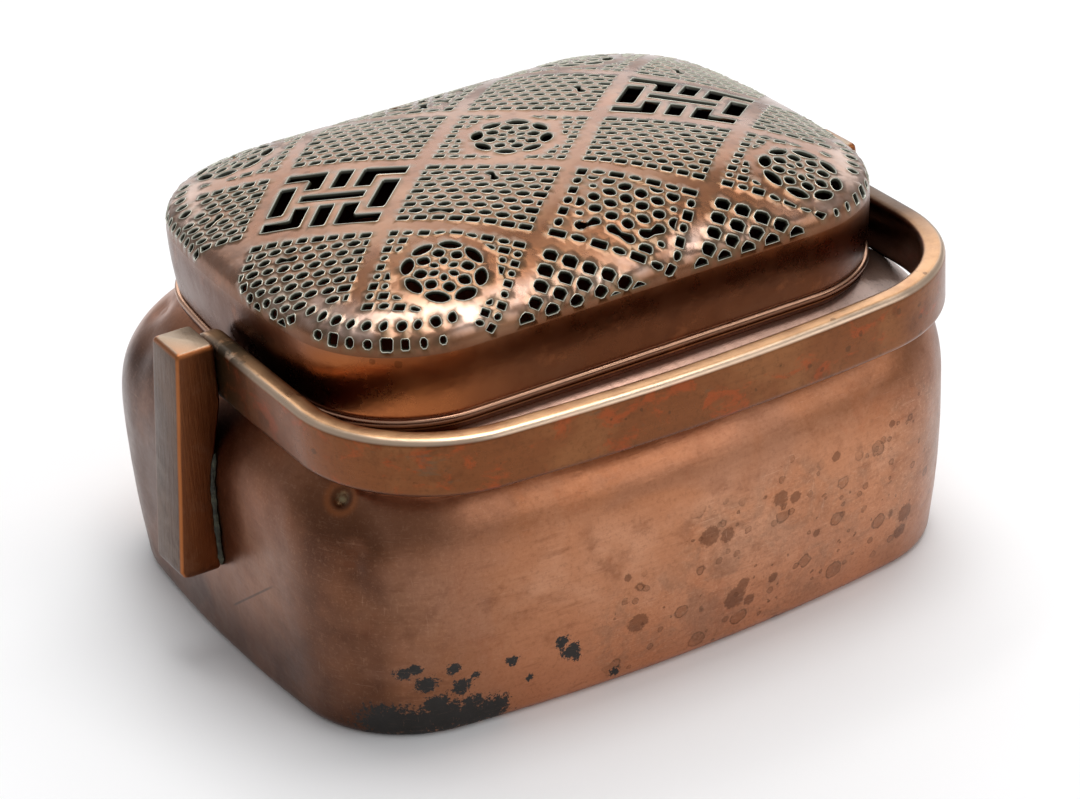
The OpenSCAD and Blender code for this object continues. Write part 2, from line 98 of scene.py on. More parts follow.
STRAP_H = BAIL_HIGH[2] - BAIL_LOW[2]
STRAP_T = 5.2
STRAP_EDGE = 1.7
BAIL_HL, BAIL_REACH = BAIL_HIGH[0], -BAIL_LOW[1]
BAIL_R, BAIL_BOW = 32.6, 2.4
BAIL_O = (BAIL_HL, BAIL_REACH, BAIL_R, BAIL_BOW, FLAT_BOW)
PIVOT_Z = (BAIL_HIGH[2] + BAIL_LOW[2]) / 2

LUG_IN = LUG_LOW[0]
LUG_W = LUG_HIGH[1] - LUG_LOW[1]
LUG_T = 8.6
LUG_STEP = 2.0

rng = np.random.default_rng(7)


# ---- Outlines and soft masks ----


def outline(half_l, half_w, r, bow_l, bow_e, side=60, corner=60):
    """Bowed rounded rectangle as an (n, 2) array, counter-clockwise from +X."""
    cx, cy = half_l - bow_e - r, half_w - bow_l - r

    def side_radius(c, e):
        return (c * c + e * e - r * r) / (2 * (e - r))

    r_end, r_long = side_radius(cy, half_l - cx), side_radius(cx, half_w - cy)
    a_end, a_long = math.asin(cy / (r_end - r)), math.asin(cx / (r_long - r))
    a = np.linspace(0, a_end, side, endpoint=False)
    end = np.stack([half_l - r_end + r_end * np.cos(a), r_end * np.sin(a)], -1)
    a = np.linspace(a_end, math.pi / 2 - a_long, corner, endpoint=False)
    arc = np.stack([cx + r * np.cos(a), cy + r * np.sin(a)], -1)
    a = np.linspace(math.pi / 2 - a_long, math.pi / 2, side + 1)
    long = np.stack([r_long * np.cos(a), half_w - r_long + r_long * np.sin(a)], -1)
    q = np.concatenate([end, arc, long])
    return np.concatenate([
        q[:-1], (q * [-1, 1])[::-1][:-1], (q * [-1, -1])[:-1], (q * [1, -1])[::-1][:-1]
    ])


def ring_at(o, z, side=72, corner=56):
    """An outline as points at height z."""
    flat = outline(*o, side=side, corner=corner)
    return np.c_[flat, np.full(len(flat), z)]


def body_at(z):
    """Outline of the vessel's outer face at height z."""
    if z < BULGE_Z:
        w = ((BULGE_Z - z) / BULGE_Z) ** 2
        under = max(FOOT_EDGE - z, 0.0)
        e = FOOT_SHARE * (FOOT_EDGE - math.sqrt(FOOT_EDGE**2 - under**2))
        return (
            BODY_HL - END_DRAW * w - e, BODY_HW - SIDE_DRAW * w - e,
            BODY_R + (FOOT_R - BODY_R) * w - e, BODY_BOW, END_BOW + w,
        )
    w = ((z - BULGE_Z) / (BODY_H - BULGE_Z)) ** 3
    top = inset(NECK_O, -LIP_OUT)
    mid = (BODY_HL, BODY_HW, BODY_R, BODY_BOW, END_BOW)
    return tuple(m + (t - m) * w for m, t in zip(mid, top))


def ramp(values, start, full):
    """0 up to start, 1 from full on, and straight in between."""
    return np.clip((values - start) / (full - start), 0, 1)


def patch(*terms):
    """A soft round patch, from (values, centre, radius) along each axis."""
    return np.exp(-sum(((values - centre) / radius) ** 2 for values, centre, radius in terms))


def unit(angle):
    return np.array([math.cos(angle), math.sin(angle)])


def left_of(way):
    return np.array([-way[1], way[0]])


# ---- Meshes ----


def new_object(name, data):
    obj = bpy.data.objects.new(name, data)
    bpy.context.scene.collection.objects.link(obj)
    return obj


def make_object(name, verts, faces, material, sharp=40):
    """Adds a smooth-shaded mesh; verts are in millimetres."""
    mesh = bpy.data.meshes.new(name)
    mesh.from_pydata((np.asarray(verts) * MM).tolist(), [], faces)
    mesh.polygons.foreach_set("use_smooth", [True] * len(mesh.polygons))
    mesh.set_sharp_from_angle(angle=math.radians(sharp))
    mesh.materials.append(material)
    return new_object(name, mesh)


def add_values(obj, **named):
    """Named values at each vertex, for the material."""
    for name, values in named.items():
        a = obj.data.attributes.new(name, "FLOAT", "POINT")
        a.data.foreach_set("value", np.asarray(values, np.float32))


def tube_faces(rings, n, closed=False):
    """Quads between rings of n points, in order."""
    out = []
    for k in range(rings if closed else rings - 1):
        a, b = k * n, ((k + 1) % rings) * n
        out += [(a + i, a + (i + 1) % n, b + (i + 1) % n, b + i) for i in range(n)]
    return out


def loft(name, verts, n, material, closed=False, flip=False, sharp=40):
    """A skin over rings of n points: closed into itself, or with a cap at each end."""
    faces = tube_faces(len(verts) // n, n, closed)
    if not closed:
        faces += [tuple(range(n - 1, -1, -1)), tuple(range(len(verts) - n, len(verts)))]
    return make_object(name, verts, [f[::-1] for f in faces] if flip else faces, material, sharp)


def wobble(p, wavelength, seed, waves=7):
    """Smooth unevenness from -1 to 1 at points p, as a sum of seeded plane waves."""
    r = np.random.default_rng(seed)
    total = np.zeros(len(p))
    for _ in range(waves):
        d = r.normal(size=3)
        d *= TAU / (wavelength * r.uniform(0.7, 1.5)) / np.linalg.norm(d)
        total += np.sin(p @ d + r.uniform(0, TAU))
    return total / waves


def bumps(p, places):
    """Sum of round bumps at named places: (x, y, z, radius, height)."""
    total = np.zeros(len(p))
    for x, y, z, radius, height in places:
        d2 = ((p - [x, y, z]) ** 2).sum(1)
        total += height * np.exp(-d2 / radius**2)
    return total


def ring_normals(points):
    """Outward directions, in plan, of a counter-clockwise ring."""
    t = np.roll(points, -1, 0) - np.roll(points, 1, 0)
    n = np.stack([t[:, 1], -t[:, 0]], -1)
    return n / np.linalg.norm(n, axis=1, keepdims=True)


# ---- Materials ----


def srgb(r, g, b):
    def linear(c):
        c /= 255
        return c / 12.92 if c <= 0.04045 else ((c + 0.055) / 1.055) ** 2.4

    return (linear(r), linear(g), linear(b), 1.0)


class Nodes:
    """Short names for building one procedural material, over a base colour in sRGB from 0 to 255."""

    def __init__(self, name, base):
        self.mat = bpy.data.materials.new(name)
        self.mat.use_nodes = True
        self.tree = self.mat.node_tree
        self.shader = self.tree.nodes["Principled BSDF"]
        self.coord = self.add("TexCoord").outputs["Object"]
        self.color = srgb(*base)

    def add(self, kind, inputs=None, **settings):
        """A new node with its settings, and with its inputs set or linked."""
        n = self.tree.nodes.new("ShaderNode" + kind)
        for key, value in settings.items():
            setattr(n, key, value)
        for key, value in (inputs or {}).items():
            self.put(n.inputs[key], value)
        return n

    def put(self, socket, value):
        if isinstance(value, bpy.types.NodeSocket):
            self.tree.links.new(value, socket)
        else:
            socket.default_value = value

    def noise(self, size, detail=4, rough=0.55, stretch=None, distortion=0.0):
        """Noise from 0 to 1 whose blotches measure about size millimetres."""
        coord = self.coord
        if stretch:
            coord = self.add("Mapping", {"Scale": stretch, "Vector": coord}).outputs["Vector"]
        return self.add("TexNoise", {
            "Vector": coord, "Scale": 1 / (size * MM), "Detail": detail, "Roughness": rough,
            "Distortion": distortion}).outputs["Fac"]

    def spots(self, size, share, low, high, ragged=0.35, rim=0.035):
        """Ragged spots in a share of cells that measure size millimetres, and their edges."""
        push = self.add("TexNoise", {"Vector": self.coord, "Scale": 2.2 / (size * MM), "Detail": 4})
        scaled = self.add("VectorMath", {0: push.outputs["Color"], "Scale": ragged * size * MM},
                          operation="SCALE")
        moved = self.add("VectorMath", {0: self.coord, 1: scaled.outputs[0]})
        cells = self.add("TexVoronoi", {"Vector": moved.outputs[0], "Scale": 1 / (size * MM)})
        pick = self.add("SeparateColor", {0: cells.outputs["Color"]})
        chosen = self.math("LESS_THAN", pick.outputs[0], share)
        away, reach = cells.outputs["Distance"], self.step(pick.outputs[1], 0.0, 1.0, low, high)
        gap = self.math("ABSOLUTE", self.math("SUBTRACT", away, reach))
        return (self.times(chosen, self.math("LESS_THAN", away, reach)),
                self.times(chosen, self.math("LESS_THAN", gap, rim)))

    def math(self, op, a, b=0.0, clamp=False):
        return self.add("Math", {0: a, 1: b}, operation=op, use_clamp=clamp).outputs[0]

    def times(self, *values):
        return functools.reduce(functools.partial(self.math, "MULTIPLY"), values)

    def plus(self, *values):
        return functools.reduce(functools.partial(self.math, "ADD"), values)

    def step(self, value, low, high, out_low=0.0, out_high=1.0):
        """Smooth step of a value between two limits."""
        return self.add("MapRange", {
            "Value": value, "From Min": low, "From Max": high, "To Min": out_low, "To Max": out_high,
        }, interpolation_type="SMOOTHSTEP").outputs["Result"]

    def mix(self, fac, a, b):
        return self.add("Mix", {"Factor": fac, 6: a, 7: b}, data_type="RGBA").outputs[2]

    def tint(self, what, amount, tone, share=None):
        """Lays a tone over the colour so far, where amount is 1, at a share of its strength."""
        if share is not None:
            amount = self.times(amount, share)
        if not isinstance(tone, bpy.types.NodeSocket):
            tone = srgb(*tone)
        self.color = self.mix(amount, self.color, tone)
        self.color.node.label = what

    def value(self, name):
        return self.add("Attribute", attribute_name=name).outputs["Fac"]

    def axis(self, letter, vector=None):
        vector = self.coord if vector is None else vector
        return self.add("SeparateXYZ", {0: vector}).outputs[letter]

    def rise(self, low, high):
        """Smooth step from 0 to 1 between two heights in millimetres."""
        return self.step(self.axis("Z"), low * MM, high * MM)

    def scratch(self, start, end, width):
        """1 on a thin straight scratch across the left end: start and end are (y, z) in millimetres."""
        (y0, z0), (y1, z1) = start, end
        length = math.hypot(y1 - y0, z1 - z0)
        ty, tz = (y1 - y0) / length, (z1 - z0) / length
        y, z = self.plus(self.axis("Y"), -y0 * MM), self.plus(self.axis("Z"), -z0 * MM)
        along = self.plus(self.times(y, ty), self.times(z, tz))
        across = self.plus(self.times(y, -tz), self.times(z, ty))
        line = self.step(self.math("ABSOLUTE", across), width * MM, 0.3 * width * MM)
        fade_in, fade_out = 3, 5
        ends = self.times(self.step(along, 0.0, fade_in * MM),
                          self.step(along, length * MM, (length - fade_out) * MM))
        on_end = self.step(self.axis("X"), -74 * MM, -76 * MM)
        return self.times(line, ends, on_end)

    def bump(self, height, depth, normal=None):
        """Bump of height 0 to 1 times depth millimetres."""
        n = self.add("Bump", {"Strength": 1.0, "Distance": depth * MM, "Height": height})
        if normal is not None:
            self.put(n.inputs["Normal"], normal)
        return n.outputs["Normal"]

    def finish(self, rough, normal, metallic=1.0, coat=0.0, coat_rough=0.25):
        for key, value in (("Base Color", self.color), ("Roughness", rough), ("Metallic", metallic),
                           ("Normal", normal), ("Coat Weight", coat), ("Coat Roughness", coat_rough)):
            self.put(self.shader.inputs[key], value)
        return self.mat


def copper(name, main, dark, light, rough=(0.3, 0.45), along=(1, 1, 12), grain=0.05, spots=0.3):
    """Old copper: blotched film, fine brushing along one way, small spots."""
    m = Nodes(name, main)
    film = m.noise(26, 5, 0.6, distortion=0.4)
    haze = m.noise(7, 5, 0.65)
    brush = m.noise(14, 6, 0.75, along)
    m.tint("film", m.step(film, 0.42, 0.66), light)
    m.tint("haze", m.step(haze, 0.52, 0.75), dark, 0.55)
    m.tint("specks", m.step(m.noise(1.6, 3, 0.7), 0.66, 0.74), dark, spots)
    m.tint("brushing", m.step(brush, 0.35, 0.75, 0.0, 0.22), dark)
    wear = m.plus(m.times(film, 0.5), m.times(haze, 0.5))
    ripple = m.bump(m.noise(5, 3, 0.5), 0.12, m.bump(brush, grain))
    return m, m.step(wear, 0.35, 0.65, *rough), ripple


def vessel_material():
    m, rough, normal = copper(
        "vessel_copper", (184, 125, 90), (126, 76, 48), (200, 145, 112),
        rough=(0.28, 0.42), along=(1, 1, 14), spots=0.2,
    )
    ragged, fine, mottle = m.noise(3.2, 6, 0.7), m.noise(0.8, 5, 0.75), m.noise(0.9, 3, 0.8)
    zone = m.step(m.value("stain"), 0.25, 0.6)
    m.tint("upper half", m.rise(34, 50), (158, 96, 60), 0.55)
    # Painted light: lighter towards the bottom, standing in for a brighter reflection low on the vessel.
    m.tint("foot", m.rise(30, 6), (202, 134, 94), 0.6)
    m.tint("streaks", m.step(m.noise(9, 4, 0.6, (1, 1, 5)), 0.56, 0.72), (126, 74, 46), 0.3)
    m.tint("rust", m.step(m.noise(17, 5, 0.65, distortion=0.6), 0.55, 0.7), (168, 92, 52), 0.3)
    # Painted shade: a dark film on the left front corner, over both ends and in a few places near the top,
    # standing in for shadowed floor seen in reflection.
    umber = m.times(m.value("umber"), m.step(m.noise(30, 4, 0.6), 0.2, 0.55, 0.75, 1.0))
    m.tint("umber", umber, (66, 34, 17))
    m.tint("grey", m.step(m.noise(34, 4, 0.6, distortion=0.8), 0.5, 0.66), (152, 108, 86), 0.3)
    # Painted highlight: a pale sheen on the shoulder inside the bail's right corner and along the top of the
    # front shoulder.
    pale = m.value("pale")
    m.tint("shine", pale, (250, 226, 214))
    for size, share, low, high in ((5.2, 0.42, 0.16, 0.4), (2.3, 0.3, 0.14, 0.36)):
        spot, ring = m.spots(size, share, low, high)
        m.tint("stains", m.times(spot, zone), (104, 60, 34), 0.42)
        m.tint("stain rims", m.times(ring, zone), (74, 42, 24), 0.5)
    veil = m.times(m.step(m.noise(10, 7, 0.7, distortion=0.7), 0.45, 0.62), zone)
    m.tint("veil", veil, (140, 106, 84), 0.4)
    m.tint("mottle", m.step(mottle, 0.5, 0.7, 0.0, 0.28), (110, 70, 48))
    grains = m.times(m.step(mottle, 0.48, 0.32), m.step(zone, 0.0, 1.0, 0.08, 0.25))
    m.tint("pale grains", grains, (214, 164, 130))
    m.tint("scratch", m.scratch((-7, 12.5), (-30, 29), 0.34), (36, 22, 14), 0.6)
    mark = m.plus(m.value("mark"), m.times(m.plus(ragged, fine), 0.5))
    m.tint("marks", m.step(mark, 0.98, 1.1), (88, 48, 26), 0.6)
    soot = m.plus(m.times(m.value("soot"), 0.9), m.times(ragged, 0.7), m.times(fine, 1.3))
    soot = m.step(soot, 1.5, 1.58)
    m.tint("soot", soot, (26, 20, 15))
    # Painted highlight on the dimple's edge and painted shade in its wall; the grey spot in its middle is
    # the metal's own.
    rim = m.value("rim")
    m.tint("dimple edge", m.step(rim, 0.15, 0.4, 0.0, 0.35), (170, 96, 48))
    m.tint("dimple wall", m.step(rim, 0.42, 0.7, 0.0, 0.7), (60, 34, 16))
    dimple = m.plus(m.value("dimple"), m.times(fine, 0.4))
    m.tint("dimple", m.step(dimple, 0.55, 0.95, 0.0, 0.7), (150, 138, 104))
    for size, stretch, distortion, level, share, tone in (
        (5, (1.2, 1, 26), 1.2, 0.68, 0.3, (222, 178, 150)),
        (6, (14, 14, 1.0), 0.8, 0.70, 0.22, (214, 168, 140)),
        (4, (3, 2, 24), 1.6, 0.67, 0.45, (92, 54, 34)),
        (3, (18, 10, 2.0), 1.4, 0.69, 0.4, (92, 54, 34)),
    ):
        line = m.step(m.noise(size, 2, 0.4, stretch, distortion), level, level + 0.04)
        m.tint("fine scratches", m.times(line, m.step(zone, 0.0, 1.0, 0.35 * share, share)), tone)
    metallic = m.math("SUBTRACT", m.step(soot, 0.0, 1.0, 1.0, 0.15), m.times(pale, 0.5), clamp=True)
    return m.finish(m.plus(rough, m.times(soot, 0.4)), normal, metallic, coat=0.2)


def lid_material():
    m, rough, normal = copper(
        "lid_copper", (132, 86, 56), (92, 58, 34), (154, 112, 82),
        rough=(0.24, 0.36), along=(1, 1, 5), grain=0.008, spots=0.35,
    )
    low = m.rise(LID_TOP_Z + 4, LID_TOP_Z - 3)
    m.tint("wall", low, (82, 40, 16), 0.85)
    # Painted light: a lighter, warmer patch low on the wall's near left corner, where the dark bail arm is
    # seen in reflection.
    m.tint("glow", m.times(m.value("glow"), low), (196, 116, 66), 0.7)
    m.tint("worn", m.step(m.noise(11, 5, 0.65), 0.56, 0.7), (160, 96, 58), 0.25)
    # Painted highlight: a pale band along the ridge where the rolled edge meets the crown.
    ridge = m.math("SUBTRACT", m.rise(LID_TOP_Z + 2, LID_TOP_Z + 4.5), m.rise(RIM_Z + 1, RIM_Z + 4))
    ridge = m.times(ridge, m.step(m.noise(16, 4, 0.6), 0.42, 0.64, 0.1, 0.75))
    m.tint("ridge", ridge, (206, 180, 166))
    m.tint("spots", m.spots(4.6, 0.2, 0.08, 0.2)[0], (74, 44, 24), 0.4)
    # Painted highlight: a pale band on the bead just under the lid.
    m.tint("shelf", m.value("shelf"), (222, 176, 146), 0.7)
    haze = m.times(m.value("haze"), m.step(m.noise(9, 4, 0.6), 0.3, 0.6, 0.35, 0.65))
    m.tint("haze between the holes", haze, (92, 76, 50))
    # Pale film on the hole rims, partly a real film and partly painted highlight, turning dark olive down
    # the hole walls and on the underside.
    film = m.step(m.plus(m.value("verdigris"), m.times(m.noise(2.2, 4, 0.6), 0.4)), 0.55, 0.95)
    pale = m.mix(m.noise(5, 3, 0.6), srgb(176, 178, 158), srgb(240, 240, 226))
    m.tint("film", film, m.mix(m.step(m.value("slope"), 0.05, 0.55), pale, srgb(52, 52, 36)))
    # Painted shade deep in the holes and on the underside of the sheet.
    m.tint("depth", m.step(m.value("depth"), 0.2, 0.7), (20, 17, 12))
    return m.finish(m.plus(rough, m.times(film, 0.15)), normal, m.step(film, 0.0, 1.0, 1.0, 0.3),
                    coat=m.step(low, 0.0, 1.0, 0.5, 0.05), coat_rough=0.16)


def bail_material():
    m, rough, normal = copper(
        "bail_bronze", (120, 70, 38), (80, 44, 20), (138, 88, 52),
        rough=(0.26, 0.4), along=(1, 1, 10), grain=0.05, spots=0.5,
    )
    m.tint("red", m.step(m.noise(9, 6, 0.7, (1, 1, 1.6), 0.5), 0.53, 0.64), (156, 70, 32), 0.55)
    m.tint("mottle", m.step(m.noise(1.1, 3, 0.8), 0.5, 0.68, 0.0, 0.35), (84, 52, 26))
    m.tint("grey", m.step(m.noise(8, 5, 0.7, (0.7, 1, 2)), 0.6, 0.72), (92, 78, 58), 0.5)
    # Painted highlight on the strap's upper face.
    top = m.times(m.value("upper"), m.step(m.noise(6, 6, 0.7), 0.3, 0.6, 0.6, 0.9))
    m.tint("upper face", top, (206, 160, 116))
    m.tint("spots", m.spots(3.4, 0.3, 0.06, 0.26)[0], (70, 48, 28), 0.5)
    # Painted highlight along the strap's upper outer edge.
    m.tint("worn edge", m.value("edge"), (230, 206, 180), 0.7)
    dirt = m.times(m.value("dirt"), m.step(m.noise(3, 4, 0.6), 0.25, 0.5))
    m.tint("dirt", dirt, (44, 36, 22))
    # Painted shade on the inner face of the right arm, near the right end.
    m.tint("umber", m.value("umber"), (52, 30, 12))
    return m.finish(m.plus(rough, m.times(dirt, 0.3)), normal, coat=0.2)


def lug_material():
    m, rough, normal = copper(
        "lug_bronze", (76, 51, 35), (52, 31, 16), (96, 69, 50),
        rough=(0.3, 0.44), along=(12, 12, 0.7), grain=0.12, spots=0.4,
    )
    m.tint("smudge", m.step(m.noise(7, 5, 0.7, distortion=0.5), 0.52, 0.66), (104, 84, 70), 0.55)
    m.tint("file marks", m.step(m.noise(6, 5, 0.8, (14, 14, 0.5)), 0.5, 0.7), (40, 22, 10), 0.3)
    # Painted light: the faces turned along Y are lighter and more orange, by the way they face.
    facing = m.axis("Y", m.add("NewGeometry").outputs["Normal"])
    m.tint("side faces", m.step(m.math("ABSOLUTE", facing), 0.6, 0.9), (130, 72, 34), 0.6)
    # Painted highlight on the lug's top face.
    m.tint("upper face", m.value("upper"), (184, 162, 138), 0.8)
    # Lighter edges: wear and painted highlight.
    m.tint("worn edge", m.value("edge"), (188, 112, 58), 0.6)
    return m.finish(rough, normal, coat=0.2)


def solder_material():
    m = Nodes("solder_grey", (34, 33, 26))
    lump = m.noise(2.2, 5, 0.7)
    m.tint("lumps", m.step(lump, 0.4, 0.65), (82, 82, 66))
    return m.finish(m.step(lump, 0.3, 0.7, 0.4, 0.7), m.bump(m.noise(1.4, 4, 0.6), 0.5), 0.5)


def plain_copper(*tones):
    m, rough, normal = copper(*tones, rough=(0.35, 0.55))
    return m.finish(rough, normal)


VESSEL = vessel_material()
LID_METAL = lid_material()
BAIL = bail_material()
LUG = lug_material()
SOLDER = solder_material()
BROWN = plain_copper("brown_copper", (128, 84, 62), (70, 42, 28), (152, 104, 80))
PIN = plain_copper("pin_bronze", (168, 118, 76), (100, 62, 38), (198, 150, 104))


def keep_node(node, material):
    """A CAD node that stays visible gets its finish."""
    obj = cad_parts[node]
    obj.data.materials.clear()
    obj.data.materials.append(material)


# ---- Vessel ----

# Each dent or bulge of the vessel: x, y, z, radius, height
DENTS = [
    (-70.5, -46.2, 54.2, 2.6, -0.9), (-70.5, -46.2, 54.2, 1.1, -0.8), (-67.4, -49.0, 55.0, 2.2, 0.5),
    (-71.9, -53.0, 45.0, 2.6, -0.8), (-72.6, -52.9, 41.0, 2.4, -0.9), (-73.0, -52.9, 36.0, 3.0, -0.6),
    (-69.0, -55.5, 43.0, 5.0, 0.4), (-66.2, 42.9, 58.9, 5.0, -1.0), (-60.8, 43.0, 61.7, 4.5, 0.5),
    (-74.5, 36.6, 53.8, 5.5, -1.1), (60.0, 50.0, 54.0, 6.0, -0.6), (20.0, 62.0, 48.0, 9.0, -0.5),
]
# Black oxide: x, z, radius along the front face near the foot
SOOT = [
    (-68, 4, 5.0), (-63, 3, 5.0), (-58, 4.5, 5.0), (-53, 4, 4.5), (-48, 3.5, 4.0), (-60, 8, 3.0),
    (-66, 17, 1.6), (-64, 18, 1.4), (-62, 14, 2.2), (-56.7, 17, 1.5), (-55, 12, 2.2), (-52, 14, 1.0),
    (-44, 15, 1.5), (-33, 16, 1.7), (-31, 13, 2.2), (-29.5, 11, 1.2), (-40, 9, 1.0), (-20, 3, 1.4),
]
# Where small round stains gather, and the larger single marks: x, z, radius
STAINS = [
    (12, 14, 15), (30, 18, 13), (50, 22, 13), (4, 28, 8), (-14, 14, 10), (58, 34, 9), (22, 32, 8),
    (66, 24, 9),
]
MARKS = [
    (2, 30, 2.3), (6.4, 28.8, 1.7), (-15.2, 14.4, 2.3), (9, 11.4, 2.6), (11, 14.5, 1.5), (18.8, 12.8, 1.2),
    (51, 38.7, 0.9), (35, 37, 1.1), (56, 14, 2.2), (55, 9.5, 1.7), (-18, 27, 0.9), (30, 20, 1.0),
    (20, 32.5, 1.8), (24, 31.5, 1.3), (13, 9.5, 1.4), (-72, 44.5, 0.9), (-72.5, 42, 0.9),
]
# The dimple on the left front corner with its painted highlight and shade, and the shoulder that stands up
# inside the bail's right corner with its painted highlights: x, y, z, radius, strength
DIMPLE = [(-70.5, -46.2, 54.2, 1.9, 1.0)]
DIMPLE_RIM = [(-70.5, -46.2, 54.2, 3.4, 1.0)]
PALE = [(65, -53, 58, 10, 0.95), (74, -36, 56, 8, 0.3), (55, -58, 59, 8, 0.5)]
SHOULDER = [(73.0, -36.0, 55.5, 13.0, 1.9), (66.0, -52.0, 55.5, 12.0, 1.2)]


def on_front(p, marks):
    """Strength of round marks given as (x, z, radius) on the front face."""
    total = np.zeros(len(p))
    for x, z, radius in marks:
        d2 = (p[:, 0] - x) ** 2 + (p[:, 2] - z) ** 2
        total = np.maximum(total, np.exp(-d2 / (1.3 * radius) ** 2))
    return total * (p[:, 1] < 0)


def old_film(p):
    """Strength of the painted shade, a dark film standing in for shadowed floor seen in reflection:
    strongest on the left front corner, over the left end and by the lug.
    """
    x, y, z = p.T
    corner = patch((x, -76, 26), (y, -62, 24))
    end = ramp(x, -66, -76)
    far = end * ramp(y, 2, 18)
    lug = patch((y, -8, 8)) * end * ramp(z, 18, 38)
    foot = end * ramp(z, 24, 8)
    right = ramp(x, 46, 70)
    above = ramp(z, 38, 48) * ramp(x, 5, 30)
    inner = ramp(x, 66, 70) * ramp(z, 50, 53) * ramp(y, -46, -40)
    film = 0.8 * corner + 0.5 * (end + right + lug) + 0.55 * far + 0.35 * foot + 0.2 * above + 0.7 * inner
    return np.clip(film, 0, 0.94)


def build_vessel():
    outer_z = list(FOOT_EDGE * (1 - np.cos(np.linspace(0, math.pi / 2, 7))))
    outer_z += list(np.linspace(FOOT_EDGE, BODY_H, 96)[1:])
    grid = np.array([ring_at(body_at(z), z) for z in outer_z])
    inner = [ring_at(inset(body_at(max(z, FOOT_EDGE)), WALL_T), z) for z in outer_z[::-3]]
    normal = np.cross(np.roll(grid, -1, 1) - np.roll(grid, 1, 1), np.gradient(grid, axis=0))
    normal /= np.linalg.norm(normal, axis=2, keepdims=True) + 1e-9
    p = grid.reshape(-1, 3)
    lift = 0.16 * wobble(p, 34, seed=3) + 0.05 * wobble(p, 9, seed=4) - LIFT_ROOM
    lift += bumps(p, DENTS) + bumps(p, SHOULDER)
    fade = ramp(p[:, 2], 0, 6) * ramp(p[:, 2], BODY_H, BODY_H - 3)
    p = p + normal.reshape(-1, 3) * (lift * fade)[:, None]
    verts = np.concatenate([p] + inner)
    x, y, z = verts.T
    obj = loft("vessel", verts, grid.shape[1], VESSEL, closed=True)
    shine, shoulder = bumps(verts, PALE), 0.3 * ramp(z, 57, 60) * (y < -45) * (x > -45)
    # The pale values are painted highlights, the rim values the dimple's painted highlight and shade, and
    # the dark film is painted shade that gives way under the highlights.
    add_values(
        obj, soot=on_front(verts, SOOT), stain=on_front(verts, STAINS), mark=on_front(verts, MARKS),
        dimple=bumps(verts, DIMPLE), rim=bumps(verts, DIMPLE_RIM),
        pale=np.clip(shine * ramp(z, 54, 57) + shoulder, 0, 0.95),
        umber=old_film(verts) * (1 - np.clip(shine, 0, 1)),
    )
    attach(obj, "vessel")
    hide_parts("body_shell")


def build_collar():
    """Collar with the stepped bead under the lid, as heights below the lid and steps out."""
    bore = inset(NECK_O, NECK_T)
    steps = [(0.25, -NECK_GAP), (0.28, 0.1), (0.42, 0.36), (0.75, BEAD_OUT - 0.04), (1.2, BEAD_OUT),
             (1.6, BEAD_OUT - 0.12), (1.8, 0.1), (1.95, -0.3), (2.15, -0.3), (2.3, 0.0), (2.55, 0.12),
             (2.8, 0.0), (2.95, -0.5), (3.3, -0.9), (LID_Z - BODY_H, -FOOT_IN)]
    profile = [(bore, BODY_H), (bore, NECK_TOP_Z), (NECK_O, NECK_TOP_Z)]
    profile += [(inset(LID_O, -out), LID_Z - down) for down, out in steps]
    rings = [ring_at(o, z, 60, 60) for o, z in profile[::-1]]
    verts = np.concatenate(rings)
    verts[:, 2] += 0.05 * wobble(verts, 40, seed=21) * (verts[:, 2] < LID_Z)
    z = verts[:, 2]
    obj = loft("collar", verts, len(rings[0]), LID_METAL, closed=True)
    # painted highlight on the bead's top just under the lid
    add_values(obj, shelf=ramp(z, LID_Z - 1.3, LID_Z - 0.5) * (z < LID_Z))
    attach(obj, "vessel")
    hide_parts("neck_band")


# ---- Lid ----


def lid_dents(p):
    """Slight unevenness of the lid, shared by its wall and its top."""
    return 0.16 * (wobble(p, 60, seed=11) - 1) + 0.07 * (wobble(p, 24, seed=12) - 1)


def build_lid_wall():
    """The wall, as steps out from the lower edge at shares of its height, then its inner face."""
    levels = [(t, LID_FLARE * (1 - (1 - t) ** 2)) for t in np.linspace(0, 1, 34)]
    levels[0:1] = [(0.0, -0.12), (0.01, -0.02)]
    profile = [(inset(LID_O, -out), LID_Z + t * (LID_TOP_Z - LID_Z)) for t, out in levels]
    profile += [(inset(LID_O, LID_T - out), z) for out, z in (
        (LID_FLARE, LID_TOP_Z), (LID_FLARE / 2, (LID_Z + LID_TOP_Z) / 2), (0, LID_Z))]
    rings = [ring_at(o, z) for o, z in profile]
    for p in rings[:len(levels)]:
        p[:, :2] += ring_normals(p[:, :2]) * lid_dents(p)[:, None]
    verts = np.concatenate(rings)
    obj = loft("lid_wall", verts, len(rings[0]), LID_METAL, closed=True)
    # a patch of painted light on the near left corner
    add_values(obj, glow=patch((verts[:, 0], -58, 20), (verts[:, 1], -44, 16)))
    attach(obj, "lid")
    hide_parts("lid_band")


# The openwork is laid out flat and then bent over the rolled edge and the crown
STEP_I = np.array([20.97, -0.94])
STEP_J = np.array([-1.89, 19.08])
LATTICE_AT = np.array([-0.18, 0.56])
SIDE_U, SIDE_V = np.linalg.norm(STEP_I + STEP_J), np.linalg.norm(STEP_J - STEP_I)
BAND_W = 2.8
BAND_U, BAND_V = BAND_W / 2 / SIDE_U, BAND_W / 2 / SIDE_V
PANEL_AREA = 2 * (STEP_I[0] * STEP_J[1] - STEP_I[1] * STEP_J[0])
ROOM_U, ROOM_V = PANEL_AREA / SIDE_V - BAND_W, PANEL_AREA / SIDE_U - BAND_W
ROLL_ARC = ROLL_R * ROLL_END
FLAT_O = inset(DOME_O, RIM_IN - ROLL_ARC)
RIM_W, BEVEL = 0.2, 0.5
CREST_RISE, BEVEL_DROP = 0.12, 0.5
SLOT_ROOM = 2.9
SHEET_T = 1.1
